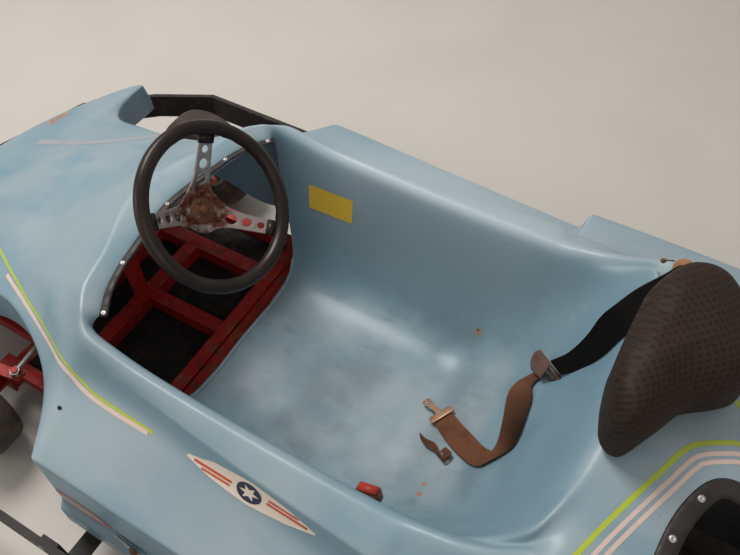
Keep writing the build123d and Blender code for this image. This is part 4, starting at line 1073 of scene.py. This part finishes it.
def wheel(side, x, y, z, radius, width, seat, bore, nut_out):
    """Tyre and rim with its nuts and valve, as (points, faces) pairs."""
    centre, axis = Vector((x, side * y, z)), Vector((0, side, 0))
    tyre = turned(slick_profile(radius, width, seat), centre, axis, 96, closed=True)
    parts = [turned(rim_profile(seat, width / 2 * 0.7, bore), centre, axis, 72, closed=True)]
    for k in range(4):
        angle = math.pi / 4 + k * math.pi / 2
        out = Vector((math.cos(angle), 0, math.sin(angle)))
        parts.append(hex_part(centre + out * 40 + axis * 3.2, axis, 7.5, 7))
        parts.append(hex_part(centre + out * 40 - axis * 3.2, -axis, 7, 5))
    parts.append(hex_part(centre + axis * nut_out, axis, 15, 9))
    parts.append(tube_part([centre + Vector((0, 0, 56)) + axis * 8, centre + Vector((0, 0, 54)) + axis * 22,
                            centre + Vector((0, 0, 53)) + axis * 34], [3.6, 3.2, 3.8], 12))
    return tyre, merged(parts)


for side, word in ((1, "left"), (-1, "right")):
    tyre, rim = wheel(side, front_axle_x, front_wheel_y, front_wheel_z, 143, 100, 64, 9.6, 28)
    slick = mesh_object(f"slick_front_{word}", *tyre, "tyre_rubber", f"front_wheel_{word}")
    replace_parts(slick, f"front_tyre_{word}")
    spun_rim = mesh_object(f"spun_rim_front_{word}", *rim, "rim_paint", f"front_wheel_{word}")
    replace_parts(spun_rim, f"front_rim_{word}")
rear = [wheel(side, rear_axle_x, rear_wheel_y, rear_wheel_z, 142, 178, 64, 15, 49.8) for side in (1, -1)]
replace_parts(piece("slicks_rear", [tyre for tyre, _ in rear], "tyre_rubber", "rear_axle_body"), "rear_tyres")
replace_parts(piece("spun_rims_rear", [rim for _, rim in rear], "rim_paint", "rear_axle_body"), "rear_rims")

# Headrest: a half moon with an upright front and a full top
pad_outline = ((-618, -102), (-617, -60), (-616, -15), (-617, 30), (-618, 76), (-624, 102), (-632, 123),
               (-650, 137), (-669, 133), (-690, 98), (-719, 44), (-757, 12), (-778, -10), (-787, -32),
               (-770, -102), (-745, -152), (-720, -182), (-700, -192), (-680, -192), (-657, -182),
               (-640, -162), (-626, -132))
pad_centre = Vector((-640, -32, 0))
# Share of the height, share of the outline
pad_rings = ((0, 0.8), (0, 0.955), (0.045, 0.995), (0.2, 1), (0.46, 1), (0.485, 0.988), (0.51, 1),
             (0.7, 0.975), (0.84, 0.915), (0.93, 0.83), (0.98, 0.7), (1, 0.5), (1, 0.25))
pad_low, pad_high = 641, 767
# How far the near end's foot hangs down onto the deck, from where it starts to hang
near_droop, droop_from, droop_reach = 17, 40, 97


def headrest():
    """The bolster, padded by a cloth simulation."""
    columns = 72
    loop = smooth_path([(x, y, 0) for x, y in pad_outline + pad_outline[:1]], columns + 1)[:columns]
    points = []
    for height, share in pad_rings:
        z = pad_low + (pad_high - pad_low) * height
        for place in loop:
            droop = near_droop * (1 - height) * max(0, (place.y - droop_from) / droop_reach) ** 1.5
            points.append(Vector((0, 0, z - droop)) + pad_centre + (place - pad_centre) * share)
    faces = ring_grid(len(pad_rings), columns)
    faces.append(tuple(reversed(range(columns))))
    faces.append(tuple(range((len(pad_rings) - 1) * columns, len(pad_rings) * columns)))
    pad = outward(mesh_object("headrest_bolster", points, faces, "pad_vinyl"))
    stuffed(pad, 0.006, 5, 0.006)
    modify(pad, "SMOOTH", factor=0.5, iterations=2)
    modify(pad, "SUBSURF", levels=1, render_levels=1)
    applied(pad, smooth=True)
    return pad


def stuffed(obj, voxel, pressure, cap):
    """Cloth blown up a little from inside, with a cap on how far a point moves."""
    modify(obj, "REMESH", mode="VOXEL", voxel_size=voxel)
    applied(obj)
    before = [v.co.copy() for v in obj.data.vertices]
    cloth = modify(obj, "CLOTH")
    cloth.settings.quality = 4
    cloth.settings.use_pressure = True
    cloth.settings.uniform_pressure_force = pressure
    cloth.settings.effector_weights.gravity = 0
    cloth.settings.mass = 0.2
    scene_now = bpy.context.scene
    for step in range(1, 13):
        scene_now.frame_set(step)
    applied(obj)
    scene_now.frame_set(1)
    for vertex, start in zip(obj.data.vertices, before):
        moved = vertex.co - start
        if moved.length > cap:
            vertex.co = start + moved * (cap / moved.length)


pad = headrest()
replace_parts(pad, "headrest_pad")


# Seat belt. Rows pair the strap's two edges
upper_strap = (
    ((-650, -296, 597), (-669, -288, 599)),
    ((-640, -284, 602), (-668, -268, 603)),
    ((-624, -250, 606), (-662, -232, 607)),
    ((-595, -190, 617), (-636, -158, 616)),
    ((-575, -154, 604), (-621, -123, 604)),
    ((-559, -141, 570), (-605, -113, 570)),
    ((-549, -129, 520), (-589, -100, 522)),
    ((-528, -142, 431), (-563, -114, 438)),
    ((-500, -142, 378), (-531, -118, 384)),
)
lower_strap = (
    ((-476, -160, 292), (-500, -143, 326)),
    ((-452, -130, 275), (-484, -122, 304)),
    ((-450, -78, 301), (-498, -80, 320)),
    ((-466, -15, 315), (-509, 2, 338)),
    ((-474, 18, 303), (-509, 33, 335)),
    ((-474, 33, 290), (-501, 46, 322)),
    ((-472, 40, 286), (-476, 66, 290)),
    ((-465, 32, 268), (-462, 74, 270)),
    ((-448, 20, 246), (-444, 68, 246)),
    ((-417, 0, 229), (-417, 51, 219)),
    ((-385, -20, 212), (-380, 29, 199)),
    ((-349, -49, 183), (-326, -12, 173)),
)
tail_strap = (
    ((-372, 52, 199), (-378, 40, 206)),
    ((-392, 60, 207), (-396, 50, 215)),
    ((-392, 72, 206), (-383, 66, 216)),
    ((-362, 54, 189), (-356, 42, 202)),
    ((-338, 46, 178), (-331, 36, 190)),
    ((-318, 32, 170), (-312, 26, 180)),
)


def strap(name, rows, count, material="webbing", thick=2.4):
    """Webbing between two edge lines, with rolled selvages."""
    left = smooth_path([row[0] for row in rows], count)
    right_edge = smooth_path([row[1] for row in rows], count)
    points = []
    for a, b in zip(left, right_edge):
        points += [a.lerp(b, share) for share in (0, 0.06, 0.25, 0.5, 0.75, 0.94, 1)]
    obj = outward(mesh_object(name, points, ring_grid(count, 7, close_columns=False), material))
    modify(obj, "SOLIDIFY", thickness=thick * MM, offset=0)
    modify(obj, "SUBSURF", levels=1, render_levels=1)
    applied(obj, smooth=True)
    return obj


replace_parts(strap("strap_upper", upper_strap, 50), "belt_webbing")
strap("strap_lower", lower_strap, 70)
strap("strap_tail", tail_strap, 30, thick=3)

# Metal tongue in the strap's end: a base bar, a neck and a slotted tip
tongue_base = Vector((-337, -31, 181))
tongue_along = Vector((58, -27, -25)).normalized()
tongue_across = Vector((23, 37, -10)).normalized()
tongue_half = [(-4, 27), (10, 27), (13, 24), (13, 9), (17, 6.5), (42, 6), (44, 9), (60, 9), (63, 6)]
tongue_outline = [(x, -y) for x, y in tongue_half] + list(reversed(tongue_half))
points, faces = flat_plate(tongue_outline, [(52, 0, 4.6)], fill=6)
points = [tongue_base + tongue_along * x + tongue_across * y + Vector((0, 0, 3 + 0.06 * x))
          for x, y, *_ in points]
tongue = mesh_object("belt_tongue", points, faces, "tongue_metal")
modify(tongue, "SOLIDIFY", thickness=0.0026, offset=0)
modify(tongue, "BEVEL", width=0.0006, segments=2, limit_method="ANGLE", angle_limit=0.9)
applied(tongue)

# Adjuster at the joint of the two straps, with a loop of webbing through it
adjuster_at = Vector((-500, -140, 352))
adjuster_along = Vector((30, -12, -62)).normalized()
adjuster_across = Vector((-32, 26, 8)).normalized()
bars = [box_part(adjuster_at + adjuster_along * along_mm, adjuster_across, adjuster_along, (62, 6, 5))
        for along_mm in (-20, -4, 18)]
bars += [box_part(adjuster_at + adjuster_across * across_mm, adjuster_along, adjuster_across, (46, 6, 5))
         for across_mm in (-30, 30)]
piece("belt_adjuster", bars, "rusty_metal")
fold_rows = (
    ((-474, -166, 366), (-506, -126, 388)),
    ((-464, -170, 346), (-503, -126, 366)),
    ((-462, -160, 324), (-498, -124, 344)),
    ((-470, -150, 308), (-499, -128, 328)),
)
strap("strap_fold", fold_rows, 16, "webbing_brown", 4)

# Shoulder anchor: a half-round flap of brown webbing over the strap's end, and a screw ahead of it
flap_outline = ((-632, -268), (-630, -274), (-627, -281), (-628, -290), (-630, -298), (-635, -306),
                (-643, -314), (-653, -318), (-661, -313), (-654, -300), (-648, -291), (-640, -280))
flap = sticker("anchor_flap", flap_outline, lambda u, v: (u, v, 606), "webbing_tan", 5, 6)
modify(flap, "SOLIDIFY", thickness=0.0032, offset=-1)
modify(flap, "SUBSURF", levels=1, render_levels=1)
applied(flap)
place, normal = on_skin((-606, -300, 604), 1.5)
wire = [on_skin(p, 1.2)[0] for p in ((-608, -301, 604), (-618, -303, 605), (-628, -304, 605))]
piece("anchor_screw", [screw_part(place, normal, 5, 3), tube_part(wire, 1.3, 6)], "rusty_metal")

# Buckle on its stub
buckle_centre = Vector((-325, 252, 346))
buckle_up = Vector((0.25, -0.15, 1)).normalized()
buckle_long = Vector((1, 0.1, -0.22)).normalized()
buckle_side = buckle_up.cross(buckle_long)
piece("buckle_case", [box_part(buckle_centre, buckle_long, buckle_side, (46, 24, 30)),
                      box_part(buckle_centre + Vector((-2, 26, -14)), buckle_long, buckle_side, (30, 34, 8))],
      "webbing_brown")
button = box_part(buckle_centre + buckle_up * 14, buckle_long, buckle_side, (38, 17, 8))
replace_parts(piece("buckle_button", [button], "buckle_red"), "buckle")

# Stripes on the body. The far side's are faded away ahead of the seat; the light band along the far side's
# waist is a painted reflection.
near_lime = [(636, 192, 396), (532, 239, 412), (450, 274, 420), (355, 313, 440), (269, 350, 469),
             (224, 363, 463), (190, 370, 452), (160, 374, 448), (124, 375, 445), (89, 376, 444),
             (60, 377, 443), (35, 378, 443)]
near_pink = [(560, 238, 404), (480, 270, 413), (455, 280, 415), (375, 313, 426), (287, 350, 456),
             (239, 366, 461), (207, 374, 450), (175, 379, 445), (146, 381, 443), (113, 382, 441),
             (80, 382, 440), (45, 383, 440)]
# A painted reflection: a light band along the far side's waist ridge, drawn as film.
far_waist_reflection = [(914, -157, 304), (803, -171, 342), (708, -191, 372), (631, -221, 391), (570, -263, 395)]
ribbon("stripe_lime_near", near_lime, 5.5, "stripe_lime", 130)
ribbon("stripe_pink_near", near_pink, 8, "stripe_pink", 90)
ribbon("far_waist_painted_reflection", far_waist_reflection, 20, "stripe_faded", 60)
rear_lime = [(-630, 352, 540), (-650, 315, 590), (-667, 275, 599), (-683, 227, 602), (-701, 179, 607),
             (-721, 129, 616), (-731, 106, 623), (-738, 88, 629), (-750, 66, 638), (-767, 51, 640),
             (-785, 40, 640), (-810, 27, 638), (-860, 20, 630), (-940, 20, 596)]
# How far each pink stripe lies outside the lime one
rear_pink_steps = (16, 28)
for side, word, first in ((1, "left", 0), (-1, "right", 3)):
    line = [(x, side * y, z) for x, y, z in rear_lime[first:]]
    ribbon(f"stripe_rear_lime_{word}", line, 8, "stripe_lime", 130)
    for k, step in enumerate(rear_pink_steps):
        ribbon(f"stripe_rear_pink_{word}_{k}", line, 6.5, "stripe_pink", 130, side=-side * step)


# Hardware on the solids: kingpin nuts, yoke and band bolts, pedal ribs
for side, word in ((1, "left"), (-1, "right")):
    pin_y = side * 370
    nuts = [hex_part((front_axle_x, pin_y, z), (0, 0, way), 13, 9) for z, way in ((192, 1), (97, -1))]
    piece(f"kingpin_nuts_{word}", nuts, "rusty_metal", f"knuckle_{word}_body")
yoke_bolts, band_bolts, pedal_ribs = [], [], []
for side in (1, -1):
    for ahead in (-15, 15):
        yoke_bolts.append(hex_part((front_axle_x + ahead, side * 357, 183), (0, 0, 1), 7, 5))
        for x in (175, -400):
            band_bolts.append(screw_part((x + ahead * 0.7, side * 604, 196 + ahead), (0, side, 0), 8, 3))
    for k in range(6):
        share = (k + 0.5) / 6
        place = Vector((734 - 12 * share, side * 120, 191 + 74 * share)) + Vector((-4.6, 0, -0.8))
        pedal_ribs.append(box_part(place, (0, 1, 0), (-12, 0, 74), (62, 5, 3)))
piece("yoke_bolts", yoke_bolts, "rusty_metal")
piece("band_bolts", band_bolts, "steel")
piece("pedal_ribs", pedal_ribs, "blower_black")

# Engine dress, from its crank centre
crank_x, crank_z = -860, 190
cowl_centre, cowl_out = Vector((crank_x, -185, crank_z + 20)), Vector((0, -1, 0))
screen = [turned([(radius, 0), (radius + 2.4, 1.8), (radius + 4.8, 0)], cowl_centre, cowl_out, 48)
          for radius in (10, 22, 34, 45)]
for angle in around(12):
    out = Vector((math.cos(angle), 0, math.sin(angle)))
    screen.append(box_part(cowl_centre + out * 31 + cowl_out * 0.8, out, cowl_out, (40, 3, 3)))
for k in range(4):
    angle = math.pi * (0.25 + 0.5 * k)
    out = Vector((math.cos(angle), 0, math.sin(angle)))
    screen.append(hex_part(cowl_centre + out * 78 - cowl_out * 19.5, cowl_out, 6, 5))
piece("cowl_screen", screen, "engine_dark")
pull_at = Vector((crank_x + 34, -180, crank_z + 88))
pull_bar = [pull_at + Vector((x, 0, 0)) for x in (-26, 0, 26)]
pull_cord = [pull_at, pull_at + Vector((-6, 12, -34))]
piece("pull_handle", [tube_part(pull_bar, [7, 5.5, 7], 14), tube_part(pull_cord, 2.2, 8)], "blower_black")
cap_at = Vector((-870, -60, 420))
cap = [turned([(0.01, 15.5), (20, 15.5), (23.5, 13.5), (25, 10), (25, 0)], cap_at, (0, 0, 1), 48)]
for angle in around(20):
    out = Vector((math.cos(angle), math.sin(angle), 0))
    cap.append(box_part(cap_at + out * 25 + Vector((0, 0, 7)), out, (0, 0, 1), (2.4, 11, 3)))
piece("filler_cap_grip", cap, "blower_black")
muffler_at = Vector((-985, -15, 250))
outlet = [(-985, 60, 250), (-985, 78, 246), (-992, 92, 232), (-1004, 96, 214)]
shell = [turned([(38, -4), (41, -2), (41, 2), (38, 4)], muffler_at + Vector((0, shift, 0)), (0, 1, 0), 40)
         for shift in (-62, 0, 62)]
shell.append(tube_part(smooth_path(outlet, 12), 11, 16))
piece("muffler_bands", shell, "muffler_metal")
lead = [(-936, -20, 314), (-950, -34, 318), (-944, -70, 300), (-920, -96, 276)]
plug = [(9, 0), (9, 8), (5, 12), (5, 30), (3, 34), (0.01, 34)]
plug = turned(plug, (-905, -20, 306), (-1, 0, 0.25), 18)
piece("plug_lead", [plug, tube_part(smooth_path(lead, 18), 3.6, 8)], "blower_black")
cleaner = [turned([(28.4, -2), (30, 0), (30, 5), (28.4, 7)], (-792, -20, 322), (0, 0, 1), 36),
           hex_part((-792, -20, 330), (0, 0, 1), 7, 8)]
case_bolts = [hex_part((crank_x + x, 70, z), (0, 1, 0), 6, 5) for x in (-68, 48) for z in (130, 250)]
piece("cleaner_and_bolts", cleaner + case_bolts, "steel")

# Chain links round the sprocket and the clutch's hub
chain_y, big, small = 95, 68.5, 31.3
span = rear_axle_x - crank_x
lean = math.atan2(rear_wheel_z - crank_z, span)
open_angle = math.acos((big - small) / math.hypot(span, rear_wheel_z - crank_z))


def chain_point(x, z, radius, angle):
    """A place on a wheel of the chain at that angle."""
    return Vector((x + radius * math.cos(angle), chain_y, z + radius * math.sin(angle)))


wrap = math.pi - open_angle
chain_path = [chain_point(rear_axle_x, rear_wheel_z, big, lean + wrap * (1 - 2 * k / 24)) for k in range(25)]
chain_path += [chain_point(crank_x, crank_z, small, lean - wrap - 2 * open_angle * k / 12) for k in range(13)]
chain_path.append(chain_path[0])
links, walked, pitch = [], 0, 11
for first, second in zip(chain_path, chain_path[1:]):
    gap = (second - first).length
    while walked < gap:
        place = first.lerp(second, walked / gap)
        out = (second - first).cross(Vector((0, 1, 0))).normalized()
        for shift in (-4.6, 4.6):
            links.append(box_part(place + Vector((0, shift, 0)), second - first, out, (13, 6.5, 1.4)))
        walked += pitch
    walked -= gap
piece("chain_links", links, "chain_steel")

# Crisp edges of the welded and cut parts worn a little round
for name in ("frame_rails", "cross_members", "yokes", "axle_hangers", "bumper_brackets", "bumper_front",
             "bumper_rear", "brake_caliper", "engine_block", "fuel_tank", "pedals", "floor_pan"):
    modify(nodes[name], "BEVEL", width=0.0015, segments=2, limit_method="ANGLE", angle_limit=0.9)


# Blank label on the tub wall, a badge on the pod and a rule of red dashes below it
def patch(low, high, corner):
    """A rounded rectangle's outline from low to high."""
    outline = []
    for x, y, start in ((high[0] - corner, high[1] - corner, 0), (low[0] + corner, high[1] - corner, 90),
                        (low[0] + corner, low[1] + corner, 180), (high[0] - corner, low[1] + corner, 270)):
        for angle in (math.radians(start + a) for a in (0, 30, 60, 90)):
            outline.append((x + corner * math.cos(angle), y + corner * math.sin(angle)))
    return outline


def oval(long, wide, count):
    """An oval outline from its half length and half width."""
    return [(long * math.cos(a), wide * math.sin(a)) for a in around(count)]


def label_at(u, v):
    return (91 - u, -284 - 0.12 * (v + 34), 380 + v)


def badge_at(u, v):
    return (-176 + 1.13 * u, 385 - 0.034 * u + 0.35 * v, 448 - 0.037 * u - 0.72 * v)


def rule_at(u, v):
    return (156 + u, 516, 249 + v)


def slot_at(u, v):
    return (38 + u, 516, 228 + 0.3 * u + v)


sticker("label_blank", patch((-57, -34), (57, 34), 4), label_at, "label_yellow", 0.5)
badge_low = [(-118, -3), (-70, -20), (-34, -26), (0, -30), (34, -26), (70, -20), (118, -3)]
badge_edge = badge_low + [(x, -y) for x, y in reversed(badge_low)]
sticker("badge_ground", badge_edge, badge_at, "badge_cream")
for name, low, high in (("badge_bar_a", (-104, -4), (-32, 2)), ("badge_bar_b", (32, -2), (104, 4)),
                        ("badge_bar_c", (-88, -13), (-34, -8)), ("badge_bar_d", (34, 8), (88, 13))):
    sticker(name, patch(low, high, 1.5), badge_at, "badge_red", 0.8)
sticker("badge_disc", oval(23, 23, 28), badge_at, "badge_navy", 0.8)
star = [(reach * math.cos(a), reach * math.sin(a)) for reach, a in zip((18, 8) * 6, around(12))]
sticker("badge_star", star, badge_at, "badge_cream", 1.2)
# Rule along the pod's foot: a lens outlined in red with plain white slashes in it
rule_half, rule_high = 82, 32


def lens(half, high, count=14):
    """A long pointed outline."""
    xs = [-half + 2 * half * k / count for k in range(count + 1)]
    over = [(x, high * (1 - (abs(x) / half) ** 2.4)) for x in xs]
    return over + [(x, -y) for x, y in reversed(over[1:-1])]


sticker("rule_red", lens(rule_half, rule_high), rule_at, "badge_red", 0.5)
sticker("rule_ground", lens(rule_half - 10, rule_high - 7), rule_at, "stripe_faded", 0.8)
for k in range(11):
    low_u = -54 + 10 * k
    slash = [(low_u, -11), (low_u + 4, -11), (low_u + 8, 11), (low_u + 4, 11)]
    sticker(f"rule_slash_{k}", slash, rule_at, "badge_cream", 1.1)

# Slot behind the rule, with its clip, and the oval holes; slot and holes are dark film, a painted shade of
# their openings.
sticker("foot_slot_shade", lens(38, 4.5), slot_at, "pan_dark", 0.5)
clip_line = [(74, 519, 226), (50, 521, 219), (24, 522, 211), (0, 523, 204)]
mesh_object("foot_clip", *tube_part(smooth_path(clip_line, 14), 2.6, 8), "screw")
mesh_object("foot_clip_bolt", *hex_part(Vector((30, 524, 214)), (0, 1, 0.2), 7, 5), "rusty_metal")
for name, (x, y, z), long_mm, wide_mm in (("pod_hole", (222, 420, 428), 5.5, 4),
                                          ("tub_hole", (-316, -242, 223), 4, 3.2)):
    sticker(name, oval(long_mm, wide_mm, 20), lambda u, v: (x + u, y + v, z), "pan_dark", 0.4, 3)


# Edging round the two service openings, with rivets
def opening_loops():
    """The boundary of each service opening in the skin, as lists of points in millimetres."""
    bm = bmesh.new()
    bm.from_mesh(open_skin)
    # A list and not a set, so that every run starts each loop at the same edge
    rim_edges = [edge for edge in bm.edges if edge.is_boundary
                 and all(v.co.x < -0.7 and v.co.z > 0.45 for v in edge.verts)]
    loops = []
    while rim_edges:
        edge = rim_edges.pop(0)
        chain = [edge.verts[0], edge.verts[1]]
        while True:
            following = next((e for e in chain[-1].link_edges if e in rim_edges), None)
            if following is None:
                break
            rim_edges.remove(following)
            chain.append(following.other_vert(chain[-1]))
        loops.append([v.co / MM for v in chain if v is not chain[0]] + [chain[0].co / MM])
    bm.free()
    return loops


# Across the edging: outward, up
edging_section = ((-4, -4), (-5, 0.5), (-3.5, 3.2), (6, 4.2), (16, 3.6), (22, 2.6), (24, 0.4), (20, 0))
rivet_gap = 68
for k, loop in enumerate(opening_loops()):
    count = len(loop)
    centre = sum(loop, Vector()) / count
    loop = [sum((loop[(i + n) % count] for n in (-2, -1, 0, 1, 2)), Vector()) / 5 for i in range(count)]
    points = []
    for i, place in enumerate(loop):
        _, normal = on_skin(place, 0)
        along = (loop[(i + 1) % count] - loop[i - 1]).normalized()
        outward_way = normal.cross(along).normalized()
        if outward_way.dot(place - centre) < 0:
            outward_way = -outward_way
        for out_mm, lift in edging_section:
            spot = on_skin(place + outward_way * max(out_mm, 0), 0)[0]
            points.append(spot + normal * lift + outward_way * min(out_mm, 0))
    edging = mesh_object(f"opening_edging_{k}", points, ring_grid(count, 8, close_rows=True), "blower_black")
    outward(edging)
    rivets, run = [], rivet_gap
    for i, place in enumerate(loop):
        run += (place - loop[i - 1]).length
        if run >= rivet_gap:
            run = 0
            spot = (points[i * 8 + 3] + points[i * 8 + 4]) / 2
            rivets.append(screw_part(spot, on_skin(place, 0)[1], 6, 2.6))
    piece(f"opening_rivets_{k}", rivets, "screw")


# Stage, light and camera
def area_light(name, place, target, size, energy, colour=(1, 1, 1)):
    data = bpy.data.lights.new(name, "AREA")
    data.shape = "DISK"
    data.size = size
    data.energy = energy
    data.color = colour
    obj = bpy.data.objects.new(name, data)
    obj.location = place
    obj.rotation_mode = "QUATERNION"
    obj.rotation_quaternion = (Vector(target) - Vector(place)).to_track_quat("-Z", "Y")
    bpy.context.scene.collection.objects.link(obj)
    return obj


floor_mesh = bpy.data.meshes.new("floor")
floor_mesh.from_pydata([(-9, -9, 0), (9, -9, 0), (9, 9, 0), (-9, 9, 0)], [], [(0, 1, 2, 3)])
floor = bpy.data.objects.new("floor", floor_mesh)
bpy.context.scene.collection.objects.link(floor)
floor_surface = Surface("floor", srgb(206, 200, 192), 0.85)
floor_surface.tint(floor_surface.noise(3, 0.3, 0.8), srgb(196, 190, 182), 0.5)
floor.data.materials.append(floor_surface.done())

area_light("key", (1.5, -0.5, 3.5), (0, 0, 0.3), 1.5, 86, (1, 0.98, 0.95))
area_light("fill", (-2.4, 2.6, 2.6), (0, 0, 0.3), 3, 14, (1, 0.98, 0.95))
area_light("front", (3, 2.4, 2.2), (0.3, 0, 0.3), 2, 18, (1, 0.98, 0.95))
world = bpy.data.worlds.new("world")
bpy.context.scene.world = world
world.use_nodes = True
world.node_tree.nodes["Background"].inputs["Color"].default_value = (1, 0.98, 0.95, 1)
world.node_tree.nodes["Background"].inputs["Strength"].default_value = 0.38
bpy.context.scene.view_settings.view_transform = "Standard"

camera_data = bpy.data.cameras.new("camera")
camera_data.sensor_width = 36
camera_data.lens = 37.287
camera_data.clip_start = 0.05
camera = bpy.data.objects.new("camera", camera_data)
right = Vector((-0.86347223, -0.50413064, -0.01637082))
down = Vector((-0.38797168, 0.68455637, -0.61713901))
ahead = Vector((0.32232544, -0.52653098, -0.78668383))
turn = Matrix((right, -down, -ahead)).transposed()
camera.matrix_world = Matrix.Translation((-0.615278, 0.704348, 1.650916)) @ turn.to_4x4()
bpy.context.scene.collection.objects.link(camera)
bpy.context.scene.camera = camera
